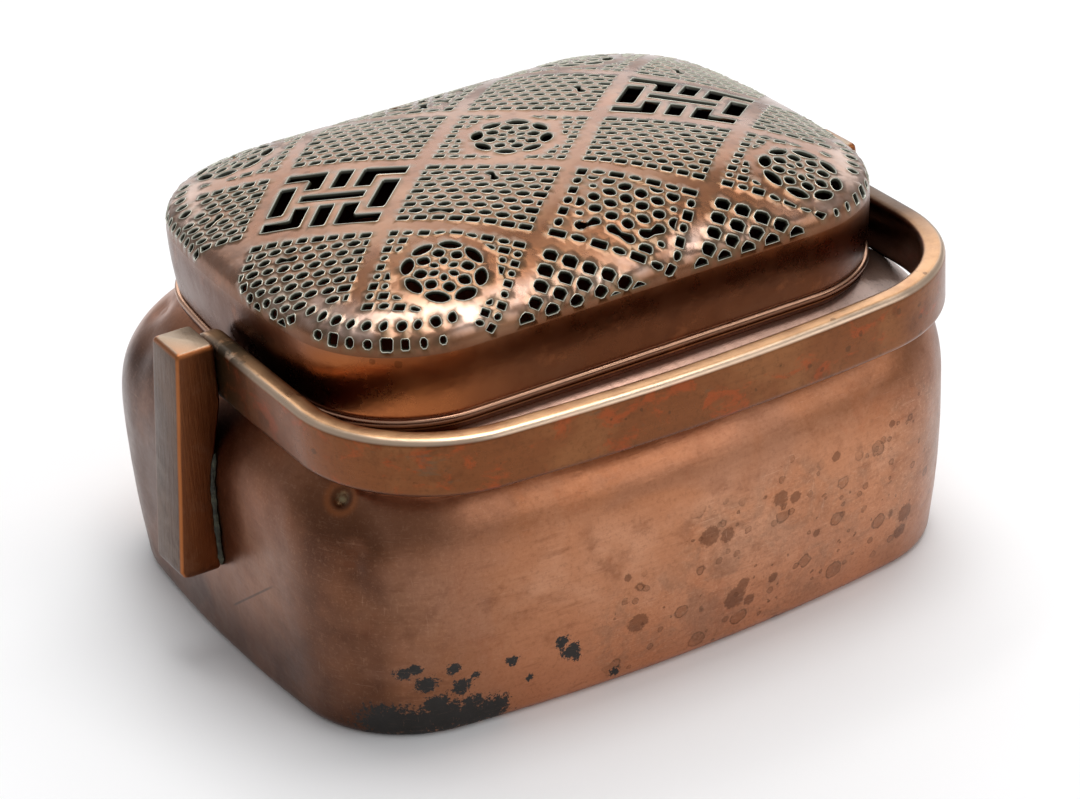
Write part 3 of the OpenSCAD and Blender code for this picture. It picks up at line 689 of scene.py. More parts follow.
OPEN_MARGIN = 1.1
SMALLEST_HOLE, LONG_HOLE = 1.3, 16
WEB, SCALE_WEB = 0.42, 0.55
SQUARE_CUT, ROUND_CUT = 0.15, 0.29
FRET_CELLS, FRET_BAR = 5, 1.5
MESH_ROWS, MESH_COLS = 9, 8
SCALE_ROWS, SCALE_COLS = 6, 7
FEW_JOINED, MORE_JOINED = 0.04, 0.1
RING_R, RING_W, RING_ROW = 10.6, 1.7, 2.5
# Length and width of the holes of rosettes and flowers
OUTER_PETAL, MIDDLE_PETAL, INNER_PETAL = (5.5, 3.2), (3.3, 3.2), (2.6, 2.1)
FLOWER_HOLE, FLOWER_PETAL = (2.0, 2.0), (3.55, 3.15)
# Openwork round each corner of the lid: first place and turn in degrees, and distance from the edge
SLOTS_AT, SLOT_TURN, SLOTS_IN = 76.6, 8.1, 2.8
SLOT_SIZES = [(1.9, 2.2), (1.8, 2.6), (2.2, 3.0), (2.9, 3.3), (2.2, 2.4), (2.4, 3.0), (2.8, 3.4), (2.6, 2.4)]
SQUARE_SLOTS = (2, 3, 6)
HOLES_AT, HOLE_TURN, HOLES_IN, HOLES = 84, 8.4, 7.0, 12
ROW_ROOM = 2.7
FLOWER_STEP = 3.75

# Where bands cross and panels centre on the real, hand-laid lattice, by lattice number
CROSSINGS = {
    (-3, 0): (-61.5, 4.5), (-2, -1): (-41.8, -16.3), (-1, -2): (-17.3, -38.1), (-2, 1): (-45.4, 20.0),
    (-1, 0): (-21.6, 2.2), (0, -1): (5.4, -17.6), (1, -2): (22.8, -38.6), (0, 0): (-1.0, 0.2),
    (-2, -2): (-38.4, -38.3), (2, -2): (46.8, -40.2), (-3, -2): (-61.0, -37.0),
}
HOLD = 0.7

flat_ring = outline(*FLAT_O)
real_ring = outline(*DOME_O)
ring_out = ring_normals(real_ring)
rim_ring = outline(*inset(DOME_O, RIM_IN))


def edge_foot(p):
    """Distance t from the flat layout's edge, the foot on the real edge and the way out."""
    near = np.empty(len(p), int)
    for k in range(0, len(p), 2000):
        d = ((p[k:k + 2000, None] - flat_ring[None]) ** 2).sum(2)
        near[k:k + 2000] = d.argmin(1)
    n = len(flat_ring)
    best = np.full(len(p), np.inf)
    t, foot, out = np.zeros(len(p)), np.zeros_like(p), np.zeros_like(p)
    for a, b in ((near, (near + 1) % n), ((near - 1) % n, near)):
        edge = flat_ring[b] - flat_ring[a]
        u = np.clip(((p - flat_ring[a]) * edge).sum(1) / (edge**2).sum(1), 0, 1)[:, None]
        at = flat_ring[a] + edge * u
        gap = np.linalg.norm(p - at, axis=1)
        way = ring_out[a] * (1 - u) + ring_out[b] * u
        way /= np.linalg.norm(way, axis=1, keepdims=True)
        closer = gap < best
        best = np.where(closer, gap, best)
        t = np.where(closer, ((at - p) * way).sum(1), t)
        real = real_ring[a] * (1 - u) + real_ring[b] * u
        foot = np.where(closer[:, None], real, foot)
        out = np.where(closer[:, None], way, out)
    return t, foot, out


def crown_share(p):
    """0 at the lid's centre, 1 on the rim outline."""
    angle = np.arctan2(rim_ring[:, 1], rim_ring[:, 0]) % TAU
    order = np.argsort(angle)
    radius = np.linalg.norm(rim_ring, axis=1)
    a = np.arctan2(p[:, 1], p[:, 0]) % TAU
    r = np.interp(a, angle[order], radius[order], period=TAU)
    return np.linalg.norm(p, axis=1) / r


def bend(p):
    """Flat layout points to points on the lid's outer face."""
    t, foot, out = edge_foot(p)
    a = np.clip(t, 0, ROLL_ARC) / ROLL_R
    xy = foot - out * (ROLL_R * (1 - np.cos(a)))[:, None]
    roll = np.c_[xy, LID_TOP_Z + ROLL_R * np.sin(a)]
    s = np.clip(crown_share(p), 0, 1)
    crown = np.c_[p, RIM_Z + CROWN * (1 - s**CROWN_POWER)]
    return np.where((t < ROLL_ARC)[:, None], roll, crown)


def bend_normals(p):
    """Ways out of the bent sheet, by its slope over a short way h either side."""
    h = 0.6
    centre = p * (1 - 1e-3)
    dx = bend(centre + [h, 0]) - bend(centre - [h, 0])
    dy = bend(centre + [0, h]) - bend(centre - [0, h])
    n = np.cross(dx, dy)
    return n / (np.linalg.norm(n, axis=1, keepdims=True) + 1e-9)


def lattice(i, j):
    """A regular lattice, drawn to the measured crossings near them."""
    moved, weight = np.zeros(2), 0.15
    for (a, b), at in CROSSINGS.items():
        w = math.exp(-((i - a) ** 2 + (j - b) ** 2) / (2 * HOLD**2))
        moved += w * (np.array(at) - LATTICE_AT - a * STEP_I - b * STEP_J)
        weight += w
    return LATTICE_AT + i * STEP_I + j * STEP_J + moved / weight


def panel_place(pu, pv, a, b):
    """Point at shares a and b of the room between a panel's bands."""
    u, v = pu + BAND_U + a * (1 - 2 * BAND_U), pv + BAND_V + b * (1 - 2 * BAND_V)
    return lattice(u - v, u + v)


def smooth(poly, cut):
    """A polygon with its corners cut off, at a share of each side."""
    nxt = np.roll(poly, -1, 0)
    return np.stack([poly + (nxt - poly) * cut, nxt + (poly - nxt) * cut], 1).reshape(-1, 2)


def shrunk(poly, d):
    """A polygon drawn in by d: small ones towards their middle, long ones along their mitred corners."""
    if area(poly) < LONG_HOLE:
        c = poly.mean(0)
        r = np.linalg.norm(poly - c, axis=1, keepdims=True)
        return poly - (poly - c) / r * np.minimum(d, 0.6 * r)
    e = np.roll(poly, -1, 0) - poly
    e /= np.linalg.norm(e, axis=1, keepdims=True) + 1e-9
    n = np.stack([-e[:, 1], e[:, 0]], -1)
    before = np.roll(n, 1, 0)
    mitre = (n + before) / np.maximum(1 + (n * before).sum(1), 0.5)[:, None]
    return poly + mitre * d


def area(poly):
    x, y = poly[:, 0], poly[:, 1]
    return (x * np.roll(y, -1) - np.roll(x, -1) * y).sum() / 2


def clipped(poly):
    """The part of a polygon that is far enough from the lid's edge."""
    t = edge_foot(poly)[0] - OPEN_MARGIN
    if t.min() >= 0:
        return poly
    out = []
    for k in range(len(poly)):
        a, b = k, (k + 1) % len(poly)
        if t[a] >= 0:
            out.append(poly[a])
        if (t[a] >= 0) != (t[b] >= 0):
            out.append(poly[a] + (poly[b] - poly[a]) * t[a] / (t[a] - t[b]))
    return np.array(out)


class Openwork:
    """Collects holes, as outlines at the sheet's outer face, in the flat layout."""

    def __init__(self):
        self.holes = []
        self.slots = np.zeros((0, 2))

    def add(self, poly, jitter):
        """Adds a hole, unevenly cut by about jitter millimetres."""
        poly = np.asarray(poly, float)
        if area(poly) < 0:
            poly = poly[::-1]
        c = poly.mean(0)
        poly = c + (poly - c) * rng.uniform(0.93, 1.04) + rng.normal(0, jitter, 2)
        poly = clipped(poly + rng.normal(0, jitter / 2, poly.shape))
        if len(poly) < 4 or area(poly) < SMALLEST_HOLE:
            return
        if len(self.slots) and np.linalg.norm(self.slots - poly.mean(0), axis=1).min() < SLOT_ROOM:
            return
        self.holes.append(poly)


def quad(pu, pv, a0, a1, b0, b1, web=WEB):
    """Four-cornered hole between shares of a panel's room, half a web in on each side."""
    wa, wb = web / 2 / ROOM_U, web / 2 / ROOM_V
    a0, a1, b0, b1 = a0 + wa, a1 - wa, b0 + wb, b1 - wb
    return np.array([panel_place(pu, pv, a, b) for a, b in ((a0, b0), (a1, b0), (a1, b1), (a0, b1))])


def blob(a, b, r, waist):
    """Two round holes run together, with a waist between them."""
    along = (b - a) / np.linalg.norm(b - a)
    side = left_of(along)
    turn = rng.uniform(-0.4, 0.4)
    out = []
    for centre, start, way in ((b, -80, 1), (a, 100, -1)):
        for d in np.radians(np.linspace(start, start + 160, 6)):
            out.append(centre + r * (along * math.cos(d) + side * math.sin(d)))
        out.append((a + b) / 2 + side * (way * waist + turn))
    return np.array(out)


def mesh_panel(work, pu, pv, joined):
    """Rows of rounded holes, every other row half a hole along; a share of them run together."""
    rows, cols = MESH_ROWS, MESH_COLS
    used = set()
    for i in range(rows):
        shift = 0.5 * (i % 2)
        for j in range(-1, cols):
            low, high = max(j + shift, 0), min(j + 1 + shift, cols)
            if high - low < 0.4 or (i, j) in used:
                continue
            inner = 0 < i < rows - 2 and 0 < j < cols - 2
            if inner and rng.random() < joined:
                other = (i, j + 1) if rng.random() < 0.5 else (i + 1, j)
                if other not in used:
                    used.add(other)
                    step = (0, 1) if other[0] == i else (1, 0.5 - 2 * shift)
                    a = panel_place(pu, pv, (i + 0.5) / rows, (low + 0.5) / cols)
                    b = panel_place(pu, pv, (i + 0.5 + step[0]) / rows, (low + 0.5 + step[1]) / cols)
                    work.add(blob(a, b, 1.1, 0.7), 0.03)
                    continue
            poly = quad(pu, pv, i / rows, (i + 1) / rows, low / cols, high / cols)
            edge = i in (0, rows - 1) or low == 0 or high == cols
            work.add(smooth(poly, SQUARE_CUT if edge else ROUND_CUT), 0.07)


def border_row(work, pu, pv, count, start, depth, clear=0.0):
    """A row of holes along each side of a panel, square and round by turns, outside a radius."""
    c = panel_place(pu, pv, 0.5, 0.5)
    turns = (lambda s, t: (s, t), lambda s, t: (1 - t, s),
             lambda s, t: (1 - s, 1 - t), lambda s, t: (t, 1 - s))
    for side, turn in enumerate(turns):
        room, along = (ROOM_V, ROOM_U) if side % 2 == 0 else (ROOM_U, ROOM_V)
        t0, t1 = start / room, (start + depth) / room
        s_low, s_high = start / along, 1 - (start + depth) / along
        ws, wt = WEB / 2 / along, WEB / 2 / room
        n = max(1, round(count * (s_high - s_low)))
        for k in range(n):
            s0, s1 = (s_low + (s_high - s_low) * (k + m) / n for m in (0, 1))
            outer, inner = ([panel_place(pu, pv, *turn(s, t)) for s in (s0 + ws, s1 - ws)]
                            for t in (t0 + wt, t1 - wt))
            share = []
            for m in (0, 1):
                f = 1.0
                while f > 0 and np.linalg.norm(outer[m] + (inner[m] - outer[m]) * f - c) < clear:
                    f -= 0.05
                inner[m] = outer[m] + (inner[m] - outer[m]) * f
                share.append(f)
            if min(share) < 0.2 or sum(share) < 0.9:
                continue
            poly = np.array([outer[0], outer[1], inner[1], inner[0]])
            if k % 2:
                poly = poly.mean(0) + (poly - poly.mean(0)) * 0.88
            work.add(smooth(poly, ROUND_CUT if k % 2 else 0.12), 0.06)


def scale_panel(work, pu, pv, outward):
    """Fish scales: round towards the lid's middle, pointed towards its edge."""
    rows, cols = SCALE_ROWS, SCALE_COLS
    for i in range(rows):
        for j in range(cols):
            a = quad(pu, pv, i / rows, (i + 1) / rows, j / cols, (j + 1) / cols, SCALE_WEB)
            tip, left, top, right = np.roll(a, 0 if outward < 0 else 2, axis=0)
            middle = (left + right) / 2
            arch = [p + (q - p) * share for p, q, share in (
                (tip, middle, 0.12), (tip, left, 0.75), (left, top, 0.28), (left, top, 0.66),
                (middle, top, 0.82), (right, top, 0.66), (right, top, 0.28), (tip, right, 0.75))]
            work.add(arch, 0.05)


def fret_panel(work, pu, pv):
    """Key fret on a square grid, mirrored both ways."""
    last = FRET_CELLS - 1

    def line(k, room, end):
        at = k + end
        gap = 0.3 if at in (0, FRET_CELLS) else FRET_BAR / 2
        return at / FRET_CELLS + (gap, -gap)[end] / room

    def spot(c, c_end, r, r_end):
        return panel_place(pu, pv, line(c, ROOM_U, c_end), line(r, ROOM_V, r_end))

    def block(c0, c1, r0, r1):
        corners = [spot(c0, 0, r0, 0), spot(c1, 1, r0, 0), spot(c1, 1, r1, 1), spot(c0, 0, r1, 1)]
        work.add(smooth(np.array(corners), 0.07), 0.02)

    for r in (0, last):
        block(1, last - 1, r, r)
    block(2, 2, 1, last - 1)
    block(0, 1, 2, 2)
    block(last - 1, last, 2, 2)
    for c in (0, last):
        for r in (0, last):
            # the bent slot fills the corner cell, its neighbour along the side and the one inside that
            n, m = (1, last - 1)[c > 0], (1, last - 1)[r > 0]
            cl, cr = (0, 1) if c == 0 else (1, 0)
            rl, rr = (0, 1) if r == 0 else (1, 0)
            bent = [spot(c, cl, r, rl), spot(c, cr, r, rl), spot(c, cr, m, rl),
                    spot(n, cr, m, rl), spot(n, cr, m, rr), spot(c, cl, m, rr)]
            work.add(smooth(np.array(bent), 0.06), 0.02)


def petal(centre, angle, distance, length, width, tangent=False):
    """A lens-shaped hole at a distance and angle from a centre."""
    t = np.linspace(0, TAU, 12, endpoint=False)
    lens = np.stack([length / 2 * np.cos(t), width / 2 * np.sin(t) * np.abs(np.sin(t)) ** 0.3], -1)
    along = unit(angle + (math.pi / 2 if tangent else 0))
    return centre + distance * unit(angle) + lens @ np.array([along, left_of(along)])


def rosette_panel(work, pu, pv):
    """Petals in a plain ring, with a row of small holes along the bands and in the corners."""
    c = panel_place(pu, pv, 0.5, 0.5)
    outer = RING_R - RING_W - 1.45
    for k in range(8):
        a = TAU * (k + 0.1) / 8
        work.add(petal(c, a, outer, *OUTER_PETAL, tangent=True), 0.04)
        work.add(petal(c, a + TAU / 16, outer - 2.6, *MIDDLE_PETAL), 0.04)
    for k in range(6):
        work.add(petal(c, TAU * k / 6, 2.3, *INNER_PETAL), 0.03)
    for start in (0, RING_ROW):
        border_row(work, pu, pv, 9, start, RING_ROW, RING_R + 0.2)


def hex_at(i, j):
    """Point (i, j) of a hexagonal lattice with steps of 1."""
    return np.array([i + j * 0.5, j * 0.866])


def floral_panel(work, pu, pv):
    """Flowers of six petals round a small hole, inside a row of holes; some petals run together."""
    border_row(work, pu, pv, 7, 0, ROW_ROOM)
    c = panel_place(pu, pv, 0.5, 0.5)
    used = set()
    for i in range(-7, 8):
        for j in range(-7, 8):
            o = c + FLOWER_STEP * hex_at(i, j)
            place = (i + 3 * j) % 7
            if place == 0:
                work_in_panel(work, petal(o, 0, 0, *FLOWER_HOLE), pu, pv)
                continue
            if (i, j) in used:
                continue
            # steps from each kind of place back to its flower's middle
            di, dj = {1: (-1, 0), 3: (0, -1), 2: (1, -1), 6: (1, 0), 4: (0, 1), 5: (-1, 1)}[place]
            to_middle = hex_at(di, dj)
            beside = (i - dj, j + di + dj)
            if rng.random() < 0.34 and (beside[0] + 3 * beside[1]) % 7 and beside not in used:
                used.add(beside)
                hole = blob(o, c + FLOWER_STEP * hex_at(*beside), 1.35, 0.85)
            else:
                hole = petal(o, math.atan2(to_middle[1], to_middle[0]), 0, *FLOWER_PETAL)
            work_in_panel(work, hole, pu, pv)


def work_in_panel(work, poly, pu, pv):
    """Adds the part of a hole that lies inside its panel's border row."""
    basis = np.linalg.inv(np.stack([STEP_I, STEP_J], -1))
    ij = (poly - LATTICE_AT) @ basis.T
    for _ in range(3):
        ij -= (np.array([lattice(*q) for q in ij]) - poly) @ basis.T
    a = ((ij[:, 0] + ij[:, 1]) / 2 - pu - BAND_U) / (1 - 2 * BAND_U)
    b = ((ij[:, 1] - ij[:, 0]) / 2 - pv - BAND_V) / (1 - 2 * BAND_V)
    ma, mb = (ROW_ROOM + WEB / 2) / ROOM_U, (ROW_ROOM + WEB / 2) / ROOM_V
    if not (ma < a.mean() < 1 - ma and mb < b.mean() < 1 - mb):
        return
    a, b = np.clip(a, ma, 1 - ma), np.clip(b, mb, 1 - mb)
    pts = np.array([panel_place(pu, pv, x, y) for x, y in zip(a, b)])
    keep = np.linalg.norm(pts - np.roll(pts, 1, 0), axis=1) > 0.12
    if keep.sum() > 4:
        work.add(pts[keep], 0.04)


def corner_slots(work):
    """A row of short slots on the rolled edge below each corner rosette, and round holes above it."""
    corner_r = FLAT_O[2]
    middle = [FLAT_O[0] - FLAT_O[4] - corner_r, FLAT_O[1] - FLAT_O[3] - corner_r]
    for sx in (-1, 1):
        for sy in (-1, 1):
            for k, (wide, tall) in enumerate(SLOT_SIZES):
                out = unit(math.radians(SLOTS_AT - SLOT_TURN * k))
                side = left_of(out)
                rect = np.array([(corner_r - SLOTS_IN) * out + side * wide / 2 * p + out * tall / 2 * q
                                 for p, q in ((1, 1), (-1, 1), (-1, -1), (1, -1))])
                slot = smooth(rect, 0.16 if k in SQUARE_SLOTS else 0.28)
                work.add((slot + middle) * [sx, sy], 0.05)
            rosette = lattice(2 * sx, 2 * sy)
            for k in range(HOLES):
                a = math.radians(HOLES_AT - HOLE_TURN * k)
                at = ((corner_r - HOLES_IN) * unit(a) + middle) * [sx, sy]
                if a > 0 and np.linalg.norm(at - rosette) > RING_R + 1.2:
                    width = 2.7 if k % 2 else 2.3
                    work.add(petal(at, math.atan2(at[1], at[0]), 0, 3.0, width), 0.08)


def openwork_holes():
    """Every hole of the lid; panels have even i + j, and (0, 0) is the lid's middle."""
    work = Openwork()
    corner_slots(work)
    work.slots = np.array([h.mean(0) for h in work.holes])
    for i in range(-3, 4):
        for j in range(-3, 4):
            if (i + j) % 2 or abs(i) == abs(j) == 3:
                continue
            pu, pv = (i + j - 1) / 2, (j - i - 1) / 2
            if abs(i) == 2 and j == 0:
                fret_panel(work, pu, pv)
            elif i % 2 == 0 and abs(i) == abs(j):
                rosette_panel(work, pu, pv)
            elif i == 0:
                floral_panel(work, pu, pv)
            elif abs(j) == 3:
                scale_panel(work, pu, pv, j)
            else:
                mesh_panel(work, pu, pv, MORE_JOINED if (i, j) == (-1, -1) else FEW_JOINED)
    return work.holes


def inside(points, poly):
    """Which points lie inside a polygon."""
    x, y = points[:, 0], points[:, 1]
    hit = np.zeros(len(points), bool)
    nxt = np.roll(poly, -1, 0)
    for (x0, y0), (x1, y1) in zip(poly, nxt):
        cross = (y0 > y) != (y1 > y)
        with np.errstate(divide="ignore", invalid="ignore"):
            hit ^= cross & (x < (x1 - x0) * (y - y0) / (y1 - y0) + x0)
    return hit


def free_points(holes):
    """Points that shape the plain metal, clear of every hole."""
    step = 1.5
    xs = np.arange(-FLAT_O[0], FLAT_O[0], step)
    ys = np.arange(-FLAT_O[1], FLAT_O[1], step * 0.866)
    grid = np.array([(x + (k % 2) * step / 2, y) for k, y in enumerate(ys) for x in xs])
    grid = grid[edge_foot(grid)[0] > 0.7]
    keep = np.ones(len(grid), bool)
    for h in holes:
        c = h.mean(0)
        reach = np.linalg.norm(h - c, axis=1).max() + 0.5
        near = np.where(keep & (np.abs(grid - c).max(1) < reach))[0]
        if len(near):
            keep[near] = ~inside(grid[near], shrunk(h, -0.4))
    return grid[keep]


RIM, CREST, INNER = 1.0, 2.0, 3.0


def cut_sheet(holes):
    """The flat sheet with its holes cut out: points, each point's level, and triangles."""
    rings = [(flat_ring[::2], 0.0)]
    for h in holes:
        rings += [(h, RIM), (shrunk(h, RIM_W), CREST), (shrunk(h, BEVEL), INNER)]
    edges, count = [], 0
    for ring, _ in rings:
        edges += [(count + k, count + (k + 1) % len(ring)) for k in range(len(ring))]
        count += len(ring)
    free = free_points(holes)
    flat = np.concatenate([ring for ring, _ in rings] + [free])
    level = np.concatenate([np.full(len(ring), tag) for ring, tag in rings] + [np.zeros(len(free))])
    whole = geometry.delaunay_2d_cdt([Vector(p) for p in flat], edges, [], 0, 1e-6)
    points, _, tris, sources = whole[:4]
    points, tris = np.array([tuple(v) for v in points]), np.array(tris)
    level = np.array([level[ids[0]] if ids else 0.0 for ids in sources])
    middle = points[tris].mean(1)
    open_tri = np.zeros(len(tris), bool)
    for h in holes:
        away = np.abs(h - h.mean(0)).max()
        near = np.where(np.abs(middle - h.mean(0)).max(1) < away)[0]
        open_tri[near] |= inside(middle[near], shrunk(h, BEVEL))
    return points, level, tris[~open_tri].tolist()


def build_lid_top():
    """The pierced sheet, as an outer and an inner skin with a wall round each hole."""
    holes = openwork_holes()
    flat, level, tris = cut_sheet(holes)
    skin, normal, edge_t = bend(flat), bend_normals(flat), edge_foot(flat)[0]
    inner, crest = level == INNER, level == CREST
    rise = np.select([inner, crest], [-BEVEL_DROP, CREST_RISE], 0.0)
    top = skin + normal * (rise * np.clip(edge_t, 0, 1) + lid_dents(skin))[:, None]
    bottom = skin - normal * SHEET_T
    bottom[edge_t < 0.05, 2] = LID_TOP_Z
    n = len(top)
    border = dict.fromkeys((a, b) for f in tris for a, b in zip(f, f[1:] + f[:1]))
    faces = [tuple(f) for f in tris] + [tuple(v + n for v in f[::-1]) for f in tris]
    faces += [(b, a, a + n, b + n) for a, b in border if (b, a) not in border]
    obj = make_object("pierced_lid", np.concatenate([top, bottom]), faces, LID_METAL, sharp=60)
    # Pale rims that are partly painted highlight; the depth values carry painted shade into the holes and
    # over the underside.
    film = np.select([inner, crest], [0.85, 1.0], 0.0)
    add_values(
        obj, verdigris=np.concatenate([film, film * 0.5]), slope=np.concatenate([inner, np.ones(n)]),
        haze=np.tile(level > 0, 2), depth=np.concatenate([inner * 0.4, np.ones(n)]),
    )
    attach(obj, "lid")
    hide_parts("lid_top")
    return len(holes), len(tris)


# ---- Bail, lugs and solder ----


def rounded_rect(x0, x1, y0, y1, r, steps=5):
    """A rounded rectangle, counter-clockwise, with steps points at each corner."""
    out = []
    x0, x1, y0, y1 = x0 + r, x1 - r, y0 + r, y1 - r
    for cx, cy, start in ((x1, y1, 0), (x0, y1, 90), (x0, y0, 180), (x1, y0, 270)):
        for a in np.radians(np.linspace(start, start + 90, steps)):
            out.append((cx + r * math.cos(a), cy + r * math.sin(a)))
    return np.array(out)


def build_bail():
    """The strap, as sections (place, way out, half height) from one round end to the other."""
    flat = outline(*BAIL_O, side=40, corner=40)
    front = np.r_[len(flat) // 2:len(flat), 0]
    half, thick = STRAP_H / 2, STRAP_T - STRAP_ROOM
    tips = np.radians(np.linspace(86, 4, 12))
    stations = [((-BAIL_HL, half * math.sin(a)), (-1, 0), half * math.cos(a)) for a in tips]
    stations += [(tuple(p), tuple(d), half) for p, d in zip(flat[front], ring_normals(flat)[front])]
    stations += [((BAIL_HL, half * math.sin(a)), (1, 0), half * math.cos(a)) for a in tips[::-1]]

    def section(h):
        return rounded_rect(0, thick, -h, h, min(STRAP_EDGE, h * 0.9), 7)

    full = section(half)
    corner = np.minimum(np.abs(full[:, 0]), np.abs(full[:, 0] - thick)) < 0.9
    corner &= np.abs(np.abs(full[:, 1]) - half) < 0.9
    corner &= (full[:, 0] > thick / 2) & (full[:, 1] > 0)
    rings = []
    for p, d, h in stations:
        s = section(h)
        inward = STRAP_T - s[:, 0] - STRAP_ROOM
        rings.append(np.stack([p[0] - d[0] * inward, p[1] - d[1] * inward, PIVOT_Z + s[:, 1]], -1))
    verts = np.concatenate(rings)
    verts[:, 2] += 0.12 * wobble(verts, 30, seed=41) * (np.abs(verts[:, 1]) > 12)
    obj = loft("bail", verts, len(full), BAIL, flip=True, sharp=60)
    x, y, _ = verts.T
    add_values(
        # edge and upper carry painted highlights on the strap's upper outer edge and upper face
        obj, edge=np.concatenate([corner * (1.0 if h == half else 0.5) for _, _, h in stations]),
        upper=np.tile(full[:, 1] > half - 0.3, len(rings)), dirt=0.95 * patch((y, -8, 11)),
        # painted shade on the right arm near its end
        umber=np.minimum(ramp(x, 60, 70), 0.9) * ramp(y, -58, -38),
    )
    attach(obj, "bail")
    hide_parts("handle")


def lug_inner(z):
    """The lug's inner face follows the vessel below and stands off beside the bail."""
    free_z = (BULGE_Z + BODY_H) / 2
    on_body = body_at(min(z, free_z))[0] + 0.3
    strap_low = PIVOT_Z - STRAP_H / 2
    t = np.clip((z - free_z) / (strap_low - free_z), 0, 1)
    return on_body + (LUG_IN - on_body) * t


def lug_outer(z):
    """The lug's outer face leans from its top to a rounded foot."""
    top, foot = LUG_HIGH[2], LUG_LOW[2] + LUG_STEP
    t = np.clip((top - z) / (top - foot), 0, 1)
    x = LUG_IN + LUG_T + (LUG_HIGH[0] - LUG_IN - LUG_T) * t
    return x - 1.6 * np.clip((foot - z) / LUG_STEP, 0, 1) ** 2


def build_lug(side, name, node):
    """A block lug, as sections at heights, each drawn in by a cut for the worn edges."""
    low, high = LUG_LOW[2], LUG_HIGH[2]
    levels = [(low, 0.9), (low + 0.25, 0.35), (low + 0.8, 0.0)]
    levels += [(z, 0.0) for z in np.linspace(low + 2, high - 1.2, 46)]
    levels += [(high - 0.6, 0.08), (high - 0.25, 0.3), (high, 0.8)]
    rings, edge, upper = [], [], []
    for z, cut in levels:
        x0, x1 = lug_inner(z) + cut * 0.6, lug_outer(z) - cut
        half = LUG_W / 2 - cut
        ring = rounded_rect(x0, x1, -half, half, 0.75)
        rings.append(np.c_[ring, np.full(len(ring), z)])
        corner = np.tile([0, 0.7, 1, 0.7, 0], 4) * (ring[:, 0] > (x0 + x1) / 2)
        edge.append(np.maximum(corner, 0.9 if 0 < cut < 0.5 else 0.0))
        upper.append(np.full(len(ring), 1.0 if z == high else 0.0))
    verts = np.concatenate(rings)
    verts[:, 1] += 0.12 * wobble(verts, 26, seed=51)
    verts[:, 0] += 0.1 * (wobble(verts, 20, seed=52) - 1)
    verts[:, 0] *= side
    obj = loft(name, verts, len(rings[0]), LUG, flip=side < 0, sharp=60)
    # upper marks the top face for its painted highlight
    add_values(obj, edge=np.concatenate(edge), upper=np.concatenate(upper))
    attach(obj, "vessel")
    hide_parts(node)


def build_solder(side, name, node):
    """Uneven fillets that run up both sides of a lug."""
    verts, faces = [], []
    zs = np.linspace(LUG_LOW[2] + 0.8, 48.6, 40)
    y, n = LUG_W / 2 - 0.2, 6
    for edge_side in (-1, 1):
        start = len(verts)
        for k, z in enumerate(zs):
            x = body_at(z)[0] - 0.1
            grow = 1.15 + 0.35 * math.sin(k * 0.9 + edge_side) * math.sin(k * 0.37)
            w = grow * min(1.0, k / 3 + 0.1, (len(zs) - 1 - k) / 3 + 0.1)
            for a in np.linspace(0, math.pi / 2, n - 1):
                out, along = w * (1 - math.sin(a)) + 0.15, w * (1 - math.cos(a))
                verts.append((side * (x + out), edge_side * (y + along), z))
            verts.append((side * (x - 0.3), edge_side * (y - 0.3), z))
        last = start + (len(zs) - 1) * n
        quads = [tuple(start + v for v in f) for f in tube_faces(len(zs), n)]
        quads += [tuple(range(start, start + n)), tuple(range(last + n - 1, last - 1, -1))]
        faces += quads if side * edge_side < 0 else [f[::-1] for f in quads]
    obj = make_object(name, np.array(verts), faces, SOLDER, sharp=60)
    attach(obj, "vessel")
    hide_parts(node)


build_vessel()
build_collar()
build_lid_wall()
print("openwork holes, triangles:", build_lid_top())
build_bail()
SIDES = ((-1, "left"), (1, "right"))
for way, end in SIDES:
    build_lug(way, "lug_block_" + end, "lug_" + end)
for way, end in SIDES:
    build_solder(way, "solder_seam_" + end, "solder_" + end)
for node_name, metal in (("base_plate", BROWN), ("lug_rivets_left", BROWN), ("lug_rivets_right", BROWN),
                         ("pivot_pin_left", PIN), ("pivot_pin_right", PIN)):
    keep_node(node_name, metal)


# ---- Floor, light and camera ----


def build_floor(size=6.0):
    m = Nodes("pale_floor", (0, 0, 0))
    m.color = m.mix(m.noise(60, 2), (0.93, 0.93, 0.93, 1), (0.96, 0.96, 0.96, 1))
    mesh = bpy.data.meshes.new("floor")
    corners = [(-size, -size, 0), (size, -size, 0), (size, size, 0), (-size, size, 0)]
    mesh.from_pydata(corners, [], [(0, 1, 2, 3)])
    mesh.materials.append(m.finish(0.9, m.bump(m.noise(2, 2), 0.01), 0.0))
    new_object("floor", mesh)


def softbox(name, place, aim, size, power):
    data = bpy.data.lights.new(name, "AREA")
    data.shape = "RECTANGLE"
    data.size, data.size_y = size
    data.energy = power
    lamp = new_object(name, data)
    lamp.location = place
    lamp.rotation_euler = (Vector(aim) - Vector(place)).to_track_quat("-Z", "Y").to_euler()


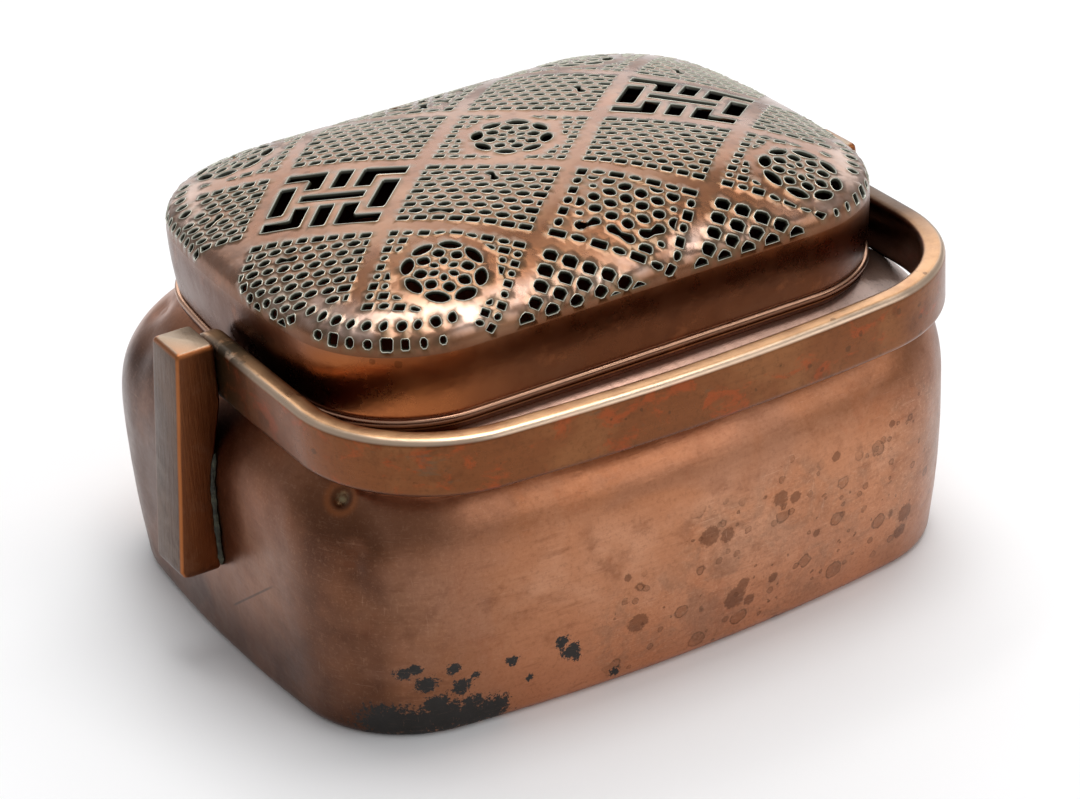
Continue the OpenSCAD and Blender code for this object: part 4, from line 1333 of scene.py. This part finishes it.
def build_world():
    """Soft grey light all round, and white where the camera looks past the floor."""
    world = bpy.data.worlds.new("studio")
    bpy.context.scene.world = world
    world.use_nodes = True
    tree = world.node_tree
    tree.nodes.clear()
    out, dim, white, mix, path = (tree.nodes.new("ShaderNode" + kind) for kind in (
        "OutputWorld", "Background", "Background", "MixShader", "LightPath"))
    dim.inputs["Color"].default_value = (0.42, 0.42, 0.43, 1)
    white.inputs["Color"].default_value = (1, 1, 1, 1)
    for source, target in (
        (path.outputs["Is Camera Ray"], mix.inputs["Fac"]), (dim.outputs[0], mix.inputs[1]),
        (white.outputs[0], mix.inputs[2]), (mix.outputs[0], out.inputs["Surface"]),
    ):
        tree.links.new(source, target)


CAMERA_AZ, CAMERA_EL, CAMERA_ROLL = (math.radians(a) for a in (29.71, 28.32, -3.5))
CAMERA_DISTANCE = 0.752
CAMERA_SHIFT = (0.00263, -0.00598)
CAMERA_TARGET = Vector((0, 0, 0.040))
CAMERA_LENS = 114.27


def build_camera():
    across, along = math.sin(CAMERA_AZ), math.cos(CAMERA_AZ)
    ahead = Vector((across * math.cos(CAMERA_EL), along * math.cos(CAMERA_EL), -math.sin(CAMERA_EL)))
    level = Vector((along, -across, 0))
    above = level.cross(ahead)
    right = level * math.cos(CAMERA_ROLL) + above * math.sin(CAMERA_ROLL)
    up = above * math.cos(CAMERA_ROLL) - level * math.sin(CAMERA_ROLL)
    place = CAMERA_TARGET - ahead * CAMERA_DISTANCE + right * CAMERA_SHIFT[0] + up * CAMERA_SHIFT[1]
    data = bpy.data.cameras.new("camera")
    data.lens = CAMERA_LENS
    data.sensor_width = 36.0
    camera = new_object("camera", data)
    camera.matrix_world = Matrix((
        (right.x, up.x, -ahead.x, place.x), (right.y, up.y, -ahead.y, place.y),
        (right.z, up.z, -ahead.z, place.z), (0, 0, 0, 1)))
    bpy.context.scene.camera = camera


build_floor()
build_world()
LIGHTS_AIM = (0, 0, 0.06)
softbox("back_light", (0.75, 1.3, 0.85), LIGHTS_AIM, (2.0, 1.2), 11)
softbox("top_light", (0.16, 0.05, 1.15), LIGHTS_AIM, (1.0, 0.6), 8.5)
softbox("front_light", (0.7, -1.2, 0.7), LIGHTS_AIM, (1.2, 0.8), 4)
build_camera()
bpy.context.scene.view_settings.view_transform = "Standard"
